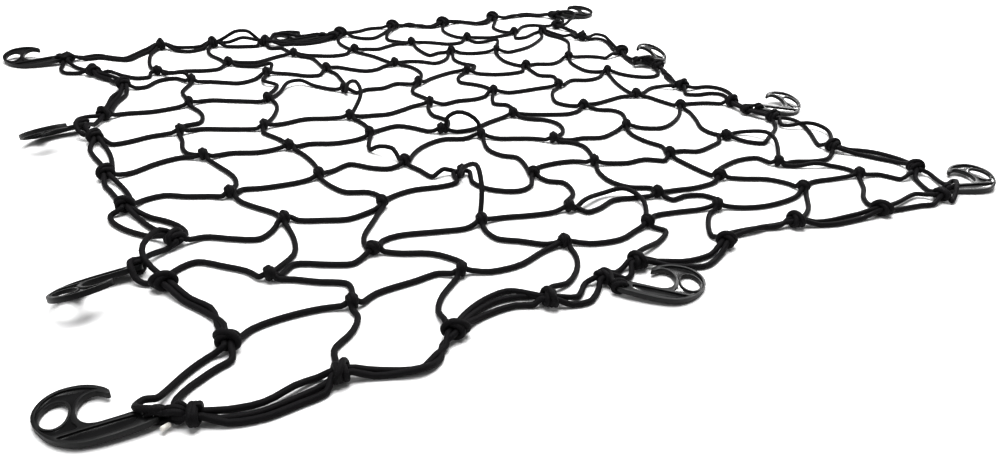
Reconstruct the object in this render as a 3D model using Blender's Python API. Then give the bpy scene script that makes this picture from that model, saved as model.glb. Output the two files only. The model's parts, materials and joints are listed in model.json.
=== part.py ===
"""Elastic cargo net: knotted cord netting with a doubled edge cord and ten plastic hooks.

The net lies slack on a flat surface. X runs across the net, Y from its front edge to its back
edge, Z up, all in metres. Cord routes are lists of points in centimetres: x, y and, where the cord
springs clear of the surface, its lift in millimetres.
"""
import math

import bmesh
import bpy
from mathutils import Matrix, Vector

CM = 0.01
MM = 0.001
CORD_HALF = 0.0024          # half width of the square-sided cord of the netting
EDGE_HALF_WIDTH = 0.0052    # the doubled edge cord lies as a flat pair
EDGE_HALF_HEIGHT = 0.0024
KNOT_HALF_WIDTH = 0.0070    # each cord's share of a knot
KNOT_HALF_HEIGHT = 0.0030
KNOT_HALF_LENGTH = 0.0080
PIECE_GAP = 0.0004          # air between one piece and the next

HOOK_PLATE = 0.0060         # thickness of the hook's plate
HOOK_FLANGE = 0.0072        # width of the stiffening flange along its back edge
HOOK_POCKET = 0.0020        # depth of the moulded recess in each face
EYE_RADIUS = 0.0050
CUT_REACH = 0.020           # how far the hook's cutters reach either side of its middle plane
TIE_HALF = 0.0022
TIE_LEAD = 0.0060           # stretch of the tie that lies along the edge
TIE_SHOULDER = 0.0090       # where the tie comes down onto the shank end, from the eye's centre
TIE_BEND = 0.0020           # where it turns down into the eye
TIE_TAIL = 0.0018           # how far its end reaches below the eye's middle
SHIFT_X = -0.00220          # the two shifts centre the finished net's box on the origin
SHIFT_Y = -0.0117

CORD_BLACK = (0.022, 0.022, 0.024)
HOOK_BLACK = (0.016, 0.016, 0.018)

# Knots of the netting, course by course from the front, left to right.
KNOTS = {
    1: ((-30.7, -39), (-18.8, -38.2), (-6, -37.6), (5.4, -37.7),
        (16, -37.8), (30, -38.5), (40.5, -38.6)),
    2: ((-36.2, -31), (-25.2, -30.5), (-11.8, -29.5), (-0.8, -30.8),
        (11.5, -32), (22.4, -31.3), (33.2, -31.2)),
    3: ((-31.5, -20.2), (-20.2, -20.8), (-7.8, -16.8), (0.4, -20.9),
        (9.8, -20.9), (21.2, -22.8), (33.2, -21)),
    4: ((-35.3, -11.4), (-24.3, -10.5), (-13, -11), (0.4, -6.8),
        (9.1, -12), (22, -11.9), (35.6, -8.2)),
    5: ((-35.7, 0.7), (-25, -0.5), (-13.6, -0.3), (-3.9, -2.9),
        (8.9, -1.2), (21.1, -2.2), (32.3, -1)),
    6: ((-36.7, 10.2), (-26, 7.8), (-13.8, 7), (-0.6, 7.8),
        (11.2, 8.9), (22.9, 7.7), (35.3, 11)),
    7: ((-33.4, 20.8), (-22.5, 18.5), (-10.4, 18.5), (1.8, 17.3),
        (12.2, 20), (23.3, 18.8), (33.6, 20.7)),
    8: ((-31, 31), (-19.3, 30.5), (-9.5, 29.5), (2.3, 28.2),
        (14.8, 31.2), (23, 29), (38.8, 38)),
    9: ((-35, 37.2), (-23.6, 38.2), (-12, 39.5), (-1.2, 38.2),
        (10.3, 39), (21.8, 38.4), (32.6, 38.8)),
}

# Knots of the edge, where the netting cords are tied to it.
FRONT_KNOTS = ((-35.2, -48.6), (-24.1, -47.3), (-13.7, -46.6), (-1.5, -44.6), (10.4, -45.2), (21.5, -45),
               (33.8, -47.3))
BACK_KNOTS = ((-32, 51.5), (-23.5, 49.8), (-14.8, 47.8), (0, 48.8), (11.4, 50.4), (22, 49.4), (33.9, 50))
LEFT_KNOTS = ((-42.4, -40.3), (-45.5, -28.4), (-43, -20.3), (-46.4, -10.3), (-47.2, -0.6), (-47.1, 11.6),
              (-45, 19.7), (-40.8, 32), (-44.2, 40.4))
RIGHT_KNOTS = ((49.3, -40.6), (44.7, -30.5), (45.5, -18.2), (44.4, -10.4), (42.2, -0.9), (45.2, 9.4),
               (44.8, 19.5), (43.5, 30.7), (43.5, 40))
FRONT_LEFT = (-47.8, -47.8)
FRONT_RIGHT = (44.8, -47.8)
BACK_LEFT = (-46.9, 48.8)
BACK_RIGHT = (47.2, 47.4)

# Route points between one knot and the next along each course, left to right.
ACROSS = {
    1: (
        ((-40, -38.8), (-36.5, -38.2), (-33, -38.4)),
        ((-28, -38.1), (-23.5, -37.6), (-21, -37.3)),
        ((-16, -39.2), (-12.5, -39.3), (-9, -38)),
        ((-3, -38.8), (0.5, -39.3), (3.2, -38.4)),
        ((7.5, -36.4), (10, -36.6), (13.4, -37.3)),
        ((19, -39.2), (22, -40), (27, -39.8)),
        ((33, -37.4), (36, -37.8)),
        ((43.5, -39.5), (45, -41.7), (46.9, -41.7, 6)),
    ),
    2: (
        ((-44.6, -26.4), (-42, -25.1), (-39.5, -27.2), (-37.8, -29)),
        ((-33.3, -29.6), (-30.3, -31), (-28, -31.9)),
        ((-23.6, -28.9), (-21.6, -28.4), (-17, -29.4), (-14, -30)),
        ((-9, -29.4), (-6, -30.2), (-3, -30.7)),
        ((0.8, -32.3), (3, -32), (5.6, -31), (8.5, -31.6)),
        ((14.3, -31.9), (17.2, -32.4), (20.6, -32.2)),
        ((23.8, -29.6), (26.5, -28.5), (29.5, -28), (32, -28.6)),
        ((35.7, -31.5), (38.4, -32.5), (41, -32.8), (43, -31.9)),
    ),
    3: (
        ((-40, -20.3), (-37.3, -22), (-35, -23), (-33, -21.5)),
        ((-30, -20.7), (-27.4, -21.8), (-25, -22.6), (-22.3, -22)),
        ((-18.2, -19.3), (-15.4, -18.7), (-11.5, -19.2), (-9.5, -18.8)),
        ((-7.7, -19.7), (-6.8, -22.2), (-3.8, -24.1), (-1.6, -23.5)),
        ((1.9, -19.2), (6, -18.9), (8.3, -19.6)),
        ((11.8, -21.8), (14, -22.6), (17, -22.6), (19.3, -24)),
        ((23.9, -22.4), (25.7, -23.3), (29, -22.6), (31.4, -21.7)),
        ((35, -23.4), (36.9, -24.8), (39.5, -23.4), (43.4, -21)),
    ),
    4: (
        ((-44.2, -8.8), (-42, -8.5), (-39.8, -9.8), (-37.2, -10.9)),
        ((-33.6, -10.5), (-31.5, -11), (-27, -11.2)),
        ((-22, -9.6), (-19.6, -8.6), (-17.4, -10.8), (-15.6, -11.8)),
        ((-11, -9), (-8.5, -6.9), (-5, -5.7), (-2.2, -6.6)),
        ((2.3, -8.4), (4.5, -9.3), (7.1, -10.5)),
        ((11.6, -12.9), (13.4, -12.9), (16.2, -13.8), (19.5, -12.7)),
        ((24, -13), (26.6, -14.2), (29.2, -13.5), (33, -11)),
        ((38.4, -7.6), (41.2, -8.4), (43, -9.5)),
    ),
    5: (
        ((-44.4, -0.7), (-41.2, 1), (-38.1, 1.7)),
        ((-32.3, 0.7), (-29, -0.4)),
        ((-22.3, -0.2), (-19, -1.3), (-16.2, -1.3)),
        ((-11, 1), (-8.7, 1.3), (-7, -0.2), (-5.6, -2.2)),
        ((-1.8, -3.9), (0.8, -3.9), (3.7, -2.6), (6.6, -1.6)),
        ((11.2, -1.8), (14.1, -3), (17, -3.9), (19.2, -3.5)),
        ((24.2, -1.7), (27, -1.1), (30, -0.6)),
        ((34.6, -0.3), (36.8, 1), (38.8, 1.2), (40.5, -0.2, 4)),
    ),
    6: (
        ((-45.2, 9.4), (-43.2, 9.5), (-40.4, 10.3)),
        ((-34, 10.5), (-31, 9.2), (-28.4, 8.1)),
        ((-23, 8.2), (-19.8, 8.8), (-17, 7.9)),
        ((-10.6, 6.6), (-8.2, 6.2), (-5.6, 7), (-3, 8)),
        ((1.4, 7), (4, 7.5), (6.8, 7.2), (9, 7.8)),
        ((13.5, 8), (17, 7.9), (20, 8)),
        ((24.8, 8.4), (26.8, 9.5), (29.5, 8.6), (32.3, 9.2)),
        ((37, 9.2), (38.6, 7.2), (41, 6), (43.2, 6.6)),
    ),
    7: (
        ((-42.6, 20.3), (-38.6, 19.7), (-35.6, 20.1)),
        ((-30.2, 21.5), (-28, 20.4), (-25.3, 19)),
        ((-20, 21), (-17.6, 24, 5), (-15.6, 24.2, 5), (-14, 22.3), (-12.3, 20)),
        ((-9, 16.8), (-7, 17.6), (-4.4, 17.3), (-1.5, 18.5)),
        ((4.5, 18.7), (7.4, 20), (10, 20.8)),
        ((13.6, 18.4), (16.1, 17), (19, 16.5), (21.5, 16.9)),
        ((25.7, 19.6), (28.5, 18.7), (30.6, 19.4)),
        ((36.6, 20.5), (38.9, 19.5), (40.2, 18.2), (41.9, 18.6, 5)),
    ),
    8: (
        ((-39.2, 31), (-37.8, 31), (-35.4, 33.4), (-33, 33.6)),
        ((-28.8, 30.2), (-26.6, 29), (-24.4, 27.8), (-21.8, 28.7)),
        ((-17, 30.2), (-15.2, 29), (-13.4, 27.4), (-11.5, 27.2)),
        ((-7.4, 30.2), (-5.6, 28.2), (-3.6, 26.5), (-1.5, 26.7), (0.3, 27.9)),
        ((5.2, 29), (7.4, 28), (9.1, 26.4), (11, 27), (13, 29)),
        ((16.4, 30.3), (18.2, 29.4), (20.6, 29.2)),
        ((24.8, 27.8), (27, 28.2), (30, 29.3), (33.5, 31.7), (36.8, 34.9)),
        ((40.2, 36.4), (41, 33.6), (41.6, 31.9, 6)),
    ),
    9: (
        ((-42, 39.6, 4), (-40.2, 37.8), (-38.4, 35.8), (-36.6, 35.7)),
        ((-33, 36.7), (-30.8, 36.8), (-28.2, 36), (-25.8, 36)),
        ((-21.4, 38.2), (-19, 37.5), (-16.6, 38.6), (-14.3, 39.7)),
        ((-10, 38.5), (-8.5, 37.7), (-6, 36.6), (-3.4, 36.8)),
        ((1, 38.5), (3.1, 37.8), (5.4, 38.8), (8, 39.7)),
        ((12.5, 39.2), (14.6, 38), (16.8, 36.4), (19.4, 36.5)),
        ((24, 38.6), (26.6, 37.6), (29.2, 38)),
        ((34.9, 40.8), (37.2, 42.8), (39.5, 43), (41.4, 41.6)),
    ),
}

# Route points between one knot and the next along each lengthwise cord, from the front edge back.
ALONG = {
    1: (
        ((-35, -46.6), (-34.5, -44.8), (-32.2, -43), (-30.9, -41)),
        ((-30, -37.2), (-29.8, -35.3), (-32.3, -33.7), (-34.4, -32.2)),
        ((-34.4, -29.2), (-32.7, -27.6), (-31.9, -25.2), (-31.6, -22.2)),
        ((-31.9, -18), (-33.6, -15.4), (-34.6, -13.6)),
        ((-34, -9), (-33.7, -6.5), (-34.6, -2.8)),
        ((-37.2, 2.6), (-37.5, 4.4), (-37, 7.4)),
        ((-35.8, 12.4), (-33.6, 12.9), (-32.7, 15.2), (-32.8, 17.8)),
        ((-33.3, 24), (-33.3, 26.5), (-32, 29)),
        ((-31.5, 32.8, 9), (-33.3, 35.2, 4)),
        ((-35.5, 41.2), (-35, 45), (-34.2, 48.2)),
    ),
    2: (
        ((-24.2, -45.2, 4), (-23.9, -43.4), (-22.6, -41.4), (-20.3, -39.4)),
        ((-17.8, -36.7), (-18.8, -34.6), (-20, -33.3), (-22.8, -32)),
        ((-25.4, -28.4), (-24.7, -26.8), (-22.8, -24.4), (-21, -22.2)),
        ((-19.7, -18.6), (-20.5, -17.1), (-22.9, -16), (-23.9, -13.8)),
        ((-23.7, -7.5), (-24, -3.2)),
        ((-25.1, 2.2), (-25.9, 4.3), (-26.6, 6)),
        ((-23.8, 11.2), (-22.2, 14.6), (-21.8, 17)),
        ((-21.8, 20.6), (-19.3, 24.8), (-20.8, 26, 4), (-20.6, 28)),
        ((-18.3, 32.3), (-17.5, 34, 6), (-19.8, 35.3), (-22.2, 36.6)),
        ((-24.3, 41.2), (-25.1, 43.8), (-25.1, 46.6)),
    ),
    3: (
        ((-12.5, -45, 4), (-10, -44.4), (-7.6, -42.5), (-6.2, -40.2)),
        ((-7.8, -36.8), (-10, -35), (-12, -33.5), (-12.3, -31.6)),
        ((-11.1, -28, 8), (-10.1, -26.2, 28), (-9.4, -23.6, 42), (-9.4, -20.6, 28), (-8.8, -18.6, 12)),
        ((-9.9, -15.9, 6), (-11.6, -16.2), (-12.2, -13.8)),
        ((-13.6, -8.4, 11), (-14.8, -6.6, 9), (-15.5, -5.2), (-14.7, -2.8)),
        ((-12.9, 2.2), (-13, 4.6)),
        ((-12.2, 8.6, 9), (-10.6, 10.6, 22), (-10.3, 13.4, 30), (-10.6, 16, 20)),
        ((-9.4, 20.8), (-9, 24), (-8.8, 27)),
        ((-9.6, 33), (-9.8, 36.6)),
        ((-12.4, 42.6), (-12.8, 44.2), (-14.6, 44.8), (-14.8, 46.2)),
    ),
    4: (
        ((-0.2, -43.1, 4), (4.3, -41.4), (6.3, -39.9)),
        ((7.2, -35.3), (8.4, -32.8, 5), (7.8, -30, 7), (5, -29.4, 3), (1.6, -30.5, 6)),
        ((-0.2, -29.2), (2, -27.6), (2.7, -24.4), (1.2, -23.2)),
        ((1.1, -17.5), (1.3, -15.2), (-0.2, -13.8), (-0.9, -11.6), (-0.2, -8.8)),
        ((0.8, -5.2, 14), (-0.5, -4.2, 26), (-2, -3.6, 28), (-3.2, -3.3, 20)),
        ((-2.2, -1.5), (-1.2, 0.6), (-2.2, 3.2), (-1.7, 6)),
        ((0, 10), (-0.8, 13.6), (0.3, 15.8)),
        ((3.3, 19.6), (4.6, 22.6), (4.2, 26.2)),
        ((1.7, 30.4), (0.6, 34), (-0.7, 36.4)),
        ((-1.9, 40.6), (-2.1, 43.5), (-1.2, 46.8)),
    ),
    5: (
        ((10.4, -43), (11.9, -40.8), (14.1, -38.7)),
        ((17.5, -36.5), (16.8, -34.6), (14.6, -33.7), (12.4, -33.9)),
        ((12, -30.2), (9.6, -28.8), (8.4, -26.2), (9, -22.8)),
        ((11.1, -18.6), (11.9, -15.4), (10.9, -13.5)),
        ((12.1, -10), (13.3, -7.1), (12.5, -4.9), (10.2, -3.3)),
        ((10.2, 1.2), (10.3, 3), (8.8, 4.2), (9.6, 6.4)),
        ((11.4, 11.4), (10.4, 13.4), (8.6, 15.4), (9.4, 17.8)),
        ((14.3, 21.4), (15, 22.6), (13.6, 24.6), (13.3, 27)),
        ((12.4, 31.8), (10.4, 31), (9.9, 33.8), (10.1, 36.6)),
        ((8.8, 40.7), (7.3, 42.6), (7.8, 45), (9.6, 47.6, 4)),
    ),
    6: (
        ((23.6, -44.2), (26, -43), (28.8, -40.2)),
        ((29.6, -36.5), (28, -34.3), (25.2, -32.9)),
        ((21.6, -29), (21.3, -26.4)),
        ((22.2, -20), (21.3, -17.6), (21, -14.6)),
        ((23.6, -9.7), (25, -6.8), (24.4, -5.2), (22.6, -4.2)),
        ((19.2, -0.8), (18.2, 1), (18.8, 3), (20.6, 5.8)),
        ((24.2, 10.2), (24.9, 12.5), (23, 13.8), (23, 16.2)),
        ((22.1, 20.6), (21.4, 22.8), (21.7, 25.6)),
        ((24.6, 31.6), (26.2, 34.6, 4), (24.2, 35.4), (22.4, 35.6)),
        ((20.3, 40.6), (19.8, 43.6), (20.4, 46.4)),
    ),
    7: (
        ((34.4, -45), (35.4, -43.5), (37.8, -41.6)),
        ((41, -36.8), (39.7, -34.7), (37.5, -33.8, 4), (35, -32.8)),
        ((35.4, -29.2), (38.2, -25.6, 8), (38.7, -23.4, 9), (37.5, -21, 3), (35.3, -20.2)),
        ((32.4, -18.6), (32.5, -16.6), (34, -13.8), (35.5, -10.4)),
        ((34.8, -6), (34.2, -4), (33.8, -2.4)),
        ((32.4, 2), (33.2, 5.6), (34.4, 8.8)),
        ((33.2, 12), (32.2, 13), (32, 15.6), (32.4, 18.2)),
        ((35.2, 23), (37.8, 26.8), (39.6, 30), (39.6, 32.8), (38.6, 35.4)),
        ((36.4, 37.4), (33, 35.4), (31.2, 35.6)),
        ((30.8, 41), (30.8, 44.2), (33.2, 47.4, 3)),
    ),
}

# Route points along each edge, from one knot to the next.
FRONT_EDGE = (
    ((-45.5, -48.9), (-41, -49.5), (-37.5, -49.3)),
    ((-32.6, -49.4), (-29, -50.3), (-26, -48.8)),
    ((-21, -45.2), (-17.5, -44.3), (-15.3, -45.4)),
    ((-10.6, -47.2), (-8, -46.1), (-4.4, -45)),
    ((1.4, -45.2), (4.6, -46.4), (8, -46.2)),
    ((12.6, -44.1), (16.2, -44.2), (19.3, -44.7)),
    ((24.2, -46.3), (30.3, -46.9)),
    ((38, -47.3), (42, -47.7)),
)
BACK_EDGE = (
    ((-44.5, 49.3), (-41, 48.3), (-38.5, 47), (-35.5, 49.4)),
    ((-29.8, 48.4), (-26.5, 48.6)),
    ((-20.5, 47.9), (-17.5, 47.4)),
    ((-12.2, 46), (-8.6, 45.3), (-5, 45.5), (-2.4, 47.2)),
    ((2, 47.7), (4.5, 47), (8, 48.6)),
    ((13.5, 51.3), (16.4, 49.5), (19.4, 48.6)),
    ((25, 50), (28.3, 48.4), (31, 48)),
    ((37, 49.2), (40, 50.2), (44.2, 49.2)),
)
LEFT_EDGE = (
    ((-46.6, -44.6), (-44.2, -42.4)),
    ((-42.1, -37.4), (-42.4, -34.5), (-44, -31.6)),
    ((-46.2, -26.2), (-45.9, -23.8), (-44.7, -21.8)),
    ((-44.4, -17), (-46, -13.4)),
    ((-46, -7), (-46.6, -4)),
    ((-46.4, 3), (-46.7, 8)),
    ((-46.3, 14.6), (-45.6, 17.4)),
    ((-43.6, 24.5), (-42.4, 28.6)),
    ((-42.2, 35), (-43.9, 37.6)),
    ((-46.4, 41.6), (-47.4, 44.8)),
)
RIGHT_EDGE = (
    ((46.6, -44.6),),
    ((50.4, -37.6), (49.4, -34.8), (47.2, -32.2)),
    ((46.6, -27.4), (48.5, -24), (47.2, -20.6)),
    ((44, -15.6), (43.7, -12.8)),
    ((46.2, -8.8), (48, -5.4), (47, -2.3), (44.6, -1.6)),
    ((43.4, 2.6), (44.9, 6)),
    ((43.2, 10.2), (41, 11.6), (41.1, 14.6), (42.8, 16.6)),
    ((46.3, 23.5), (47.8, 27.6), (46.4, 30.8)),
    ((44.3, 33.6), (44.7, 36.2)),
    ((44.6, 42.4), (46.2, 44.8)),
)

# Outline of a hook in millimetres: eye at the origin, shank along +x, claw towards +y.
HOOK_OUTLINE = ((-8, 0), (-6, -6), (2, -9.5), (14, -12.5), (28, -16.5), (42, -18.5), (54, -17.5), (66, -12),
                (77, -2), (83.5, 9), (86, 21), (84.5, 32), (79, 42), (70, 48), (58, 49.5), (47, 47),
                (38, 42.5), (32.5, 37), (32, 32.5), (34.5, 32),
                (38, 35.5), (44, 38), (50, 35.5), (54, 27), (54, 17), (53, 8), (46, 1), (38, -1),
                (26, 2), (12, 6),
                (0, 8),
                (-6, 6))
RING_HOLE = ((59.5, 14), (61, 6), (66, 1.5), (73, 2.5), (78.5, 8), (81, 16), (80.5, 24), (76.5, 31), (70.5, 34),
             (64, 31), (60, 23))
BACK_FLANGE = ((4, -11), (14, -13.8), (28, -17.8), (42, -19.8), (54.5, -18.8), (67, -13), (78.3, -2.8),
               (84.8, 8.5), (87.3, 21), (85.8, 32.5), (80, 43), (77, 40.5), (81.5, 31), (83, 21),
               (80.8, 10.5), (74.5, 0.5), (64.5, -8), (53, -13.8), (41, -14.8), (28, -12.8), (14, -8.8),
               (4, -6))
SHANK_POCKET = ((9, 3), (9, -5), (20, -8.2), (32, -12), (43, -13), (54, -12), (62, -7.5), (50, -4.8),
                (38, -4.6), (26, -1.5))

# Hooks: eye position (cm), heading (degrees), side the claw lies on, lift of the claw side (degrees),
# dip of the ring end (degrees), and where its tie leaves the edge: x, y (cm) and height (mm).
HOOK_COLUMNS = ("eye", "heading", "claw", "roll", "pitch", "tie")
HOOKS = {
    "hook_front_left": ((-49.8, -47.3), 165, -1, 0, 0, (-48.4, -47.6, 17.8)),
    "hook_left_front": ((-47.8, -25), 195, 1, 20, -4, (-46, -24.9, 7.8)),
    "hook_left_back": ((-48.2, 16.1), 202, 1, 27, -2.5, (-45.8, 16.6, 7.9)),
    "hook_back_left": ((-48.9, 48.3), 164, -1, -10, 0, (-47.5, 48.4, 15.95)),
    "hook_back_middle": ((-4.4, 47.6), 170, -1, -2, 0, (-2.2, 47.3, 7.8)),
    "hook_back_right": ((49.2, 47.4), -10, 1, 7, 0, (47.9, 47.5, 17.1)),
    "hook_right_back": ((43.1, 12.5), 12, 1, 20, 0, (40.9, 12.3, 7.8)),
    "hook_right_front": ((46.2, -14.9), -8, 1, 10, 0, (43.8, -14.1, 7.8)),
    "hook_front_right": ((48.1, -46.7), -6, 1, 0, 0, (46.3, -45, 9.5)),
    "hook_front_middle": ((-5.8, -48), -30, 1, 0, 0, (-6.4, -45.6, 7.8)),
}

for old in list(bpy.data.objects):
    bpy.data.objects.remove(old, do_unlink=True)


def material(name, colour, roughness):
    made = bpy.data.materials.new(name)
    made.use_nodes = True
    shader = made.node_tree.nodes["Principled BSDF"]
    shader.inputs["Base Color"].default_value = (*colour, 1)
    shader.inputs["Roughness"].default_value = roughness
    shader.inputs["Metallic"].default_value = 0
    return made


def section(centre, tangent, half_width, half_height, side):
    """The four corners of the cord, its flat side down."""
    side = side or Vector((0, 0, 1)).cross(tangent).normalized()
    up = tangent.cross(side).normalized()
    corners = ((1, 1), (-1, 1), (-1, -1), (1, -1))
    return [centre + side * (half_width * x) + up * (half_height * y) for x, y in corners]


def cord_mesh(name, stations, shader, side=None):
    """A closed solid through the stations (centre, half width, half height)."""
    bm = bmesh.new()
    rings = []
    for k, (centre, half_width, half_height) in enumerate(stations):
        before = stations[max(k - 1, 0)][0]
        after = stations[min(k + 1, len(stations) - 1)][0]
        reach_in = (centre - before).normalized()
        reach_out = (after - centre).normalized()
        tangent = (reach_in + reach_out).normalized()
        rings.append([bm.verts.new(p) for p in section(centre, tangent, half_width, half_height, side)])
    for first, second in zip(rings, rings[1:]):
        for k in range(4):
            n = (k + 1) % 4
            bm.faces.new((first[k], first[n], second[n], second[k]))
    bm.faces.new(rings[0])
    bm.faces.new(rings[-1])
    bmesh.ops.recalc_face_normals(bm, faces=bm.faces)
    mesh = bpy.data.meshes.new(name)
    bm.to_mesh(mesh)
    bm.free()
    for face in mesh.polygons:
        face.use_smooth = True
    mesh.materials.append(shader)
    made = bpy.data.objects.new(name, mesh)
    bpy.context.scene.collection.objects.link(made)
    return made


LOW_KNOT_Z = KNOT_HALF_HEIGHT
HIGH_KNOT_Z = KNOT_HALF_HEIGHT * 3 + PIECE_GAP


def place(point, half_height):
    """Route point (x cm, y cm, lift mm) to the centre of the cord there."""
    lift = point[2] * MM if len(point) > 2 else 0
    return Vector((point[0] * CM + SHIFT_X, point[1] * CM + SHIFT_Y, lift + half_height))


def knotted(knots, spans, knot_z, half_width, half_height):
    """Stations of a cord tied at every knot of the list."""
    stations = []
    for k, knot in enumerate(knots):
        middle = Vector((knot[0] * CM + SHIFT_X, knot[1] * CM + SHIFT_Y, knot_z))
        before = place(spans[k - 1][-1], half_height) if k else None
        after = place(spans[k][0], half_height) if k < len(spans) else None
        ahead = (after or middle) - (before or middle)
        ahead.z = 0
        ahead.normalize()
        reach = ahead * KNOT_HALF_LENGTH
        stations.append((middle - reach, half_width, half_height))
        stations.append((middle, KNOT_HALF_WIDTH, KNOT_HALF_HEIGHT))
        stations.append((middle + reach, half_width, half_height))
        if after is not None:
            for point in spans[k]:
                stations.append((place(point, half_height), half_width, half_height))
    return stations


def raise_ends(stations):
    """Lift the knot at each end so it lies over the cord it is tied round."""
    for centre, _, _ in stations[:3] + stations[-3:]:
        centre.z = HIGH_KNOT_Z


def prism(name, outline, low, high):
    bm = bmesh.new()
    base = [bm.verts.new((x * MM, y * MM, low)) for x, y in outline]
    top = [bm.verts.new((x * MM, y * MM, high)) for x, y in outline]
    count = len(outline)
    for k in range(count):
        bm.faces.new((base[k], base[(k + 1) % count], top[(k + 1) % count], top[k]))
    bm.faces.new(base)
    bm.faces.new(top)
    bmesh.ops.recalc_face_normals(bm, faces=bm.faces)
    mesh = bpy.data.meshes.new(name)
    bm.to_mesh(mesh)
    bm.free()
    made = bpy.data.objects.new(name, mesh)
    bpy.context.scene.collection.objects.link(made)
    return made


def combine(target, tool, how):
    change = target.modifiers.new(how.lower(), "BOOLEAN")
    change.operation = how
    change.object = tool
    change.solver = "EXACT"
    bpy.context.view_layer.objects.active = target
    bpy.ops.object.modifier_apply(modifier=change.name)
    bpy.data.objects.remove(tool, do_unlink=True)


def hook_shape():
    """One hook lying flat, its middle plane at z = 0."""
    half_plate = HOOK_PLATE / 2
    half_flange = HOOK_FLANGE / 2
    body = prism("hook_plate", HOOK_OUTLINE, -half_plate, half_plate)
    combine(body, prism("flange", BACK_FLANGE, -half_flange, half_flange), "UNION")
    combine(body, prism("ring", RING_HOLE, -CUT_REACH, CUT_REACH), "DIFFERENCE")
    eye = [(EYE_RADIUS / MM * math.cos(math.pi / 8 + k * math.pi / 4),
            EYE_RADIUS / MM * math.sin(math.pi / 8 + k * math.pi / 4)) for k in range(8)]
    combine(body, prism("eye", eye, -CUT_REACH, CUT_REACH), "DIFFERENCE")
    combine(body, prism("pocket_top", SHANK_POCKET, half_plate - HOOK_POCKET, CUT_REACH), "DIFFERENCE")
    combine(body, prism("pocket_under", SHANK_POCKET, -CUT_REACH, HOOK_POCKET - half_plate), "DIFFERENCE")
    return body.data


cord_material = material("cord", CORD_BLACK, 0.75)
edge_material = material("edge_cord", CORD_BLACK, 0.72)
tie_material = material("tie_cord", CORD_BLACK, 0.75)
hook_material = material("hook", HOOK_BLACK, 0.28)

# Netting: nine cords across the net, each tied at both side edges.
for course in range(1, 10):
    across = (LEFT_KNOTS[course - 1],) + KNOTS[course] + (RIGHT_KNOTS[course - 1],)
    line = knotted(across, ACROSS[course], LOW_KNOT_Z, CORD_HALF, CORD_HALF)
    raise_ends(line)
    cord_mesh(f"cross_cord_{course}", line, cord_material)

# Netting: seven cords from the front edge to the back edge, tied over the cross cords.
for file in range(1, 8):
    column = [FRONT_KNOTS[file - 1]]
    column += [KNOTS[course][file - 1] for course in range(1, 10)]
    column.append(BACK_KNOTS[file - 1])
    cord_mesh(f"long_cord_{file}", knotted(column, ALONG[file], HIGH_KNOT_Z, CORD_HALF, CORD_HALF),
              cord_material)

# Edge: one doubled cord along each side, tied in a knot at every corner.
edges = {
    "front_edge": ((FRONT_LEFT,) + FRONT_KNOTS + (FRONT_RIGHT,), FRONT_EDGE, False),
    "back_edge": ((BACK_LEFT,) + BACK_KNOTS + (BACK_RIGHT,), BACK_EDGE, False),
    "left_edge": ((FRONT_LEFT,) + LEFT_KNOTS + (BACK_LEFT,), LEFT_EDGE, True),
    "right_edge": ((FRONT_RIGHT,) + RIGHT_KNOTS + (BACK_RIGHT,), RIGHT_EDGE, True),
}
for name, (knots, spans, over_corners) in edges.items():
    line = knotted(knots, spans, LOW_KNOT_Z, EDGE_HALF_WIDTH, EDGE_HALF_HEIGHT)
    if over_corners:
        raise_ends(line)
    cord_mesh(name, line, edge_material)

# Hooks, each with the cord that ties its eye to the edge.
shape = hook_shape()
bpy.data.objects.remove(bpy.data.objects["hook_plate"], do_unlink=True)
for name, row in HOOKS.items():
    pose = dict(zip(HOOK_COLUMNS, row))
    turn = Matrix.Rotation(math.radians(pose["heading"]), 4, "Z")
    turn = turn @ Matrix.Rotation(math.radians(pose["pitch"]), 4, "Y")
    roll = Matrix.Rotation(math.radians(pose["roll"] + (180 if pose["claw"] < 0 else 0)), 4, "X")
    mesh = shape.copy()
    mesh.name = name
    mesh.transform(turn @ roll)
    lowest = min(v.co.z for v in mesh.vertices)
    eye = Vector((pose["eye"][0] * CM + SHIFT_X, pose["eye"][1] * CM + SHIFT_Y, -lowest))
    mesh.transform(Matrix.Translation(eye))
    mesh.materials.append(hook_material)
    hook = bpy.data.objects.new(name, mesh)
    bpy.context.scene.collection.objects.link(hook)
    axis = (turn @ roll) @ Vector((0, 0, pose["claw"]))
    clear_of_tilt = 1 + 1.3 * math.tan(math.radians(abs(pose["roll"])))
    over = HOOK_PLATE / 2 + PIECE_GAP + TIE_HALF * clear_of_tilt
    start = Vector((pose["tie"][0] * CM + SHIFT_X, pose["tie"][1] * CM + SHIFT_Y, pose["tie"][2] * MM))
    back = start - eye                  # from the eye towards the net
    back.z = 0
    back.normalize()
    top = eye + axis * over
    route = [start + back * TIE_LEAD, start, top + back * TIE_SHOULDER, top + back * TIE_BEND,
             top - axis * TIE_HALF, eye, eye - axis * TIE_TAIL]
    cord_mesh(name.replace("hook", "tie"), [(p, TIE_HALF, TIE_HALF) for p in route], tie_material,
              back.cross(Vector((0, 0, 1))).normalized())
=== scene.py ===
# %% [markdown]
# # A knotted cargo net, dressed over its solids
# The real object is an elastic cargo net: rubber-core cord with a braided black sheath, knotted by
# hand into a mesh of 8 by 10 cells, with a doubled cord round the rim and ten moulded hooks.
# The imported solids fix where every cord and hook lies. This script adds what they leave out: round
# cords on smooth curves, real knots, the braid of the sheath and the moulded form of the hooks.
# All lengths are in metres, unless a comment says that a table is in centimetres or millimetres.

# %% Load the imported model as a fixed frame
import json
import math
import random

import bmesh
import bpy
from mathutils import Matrix, Vector

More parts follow.
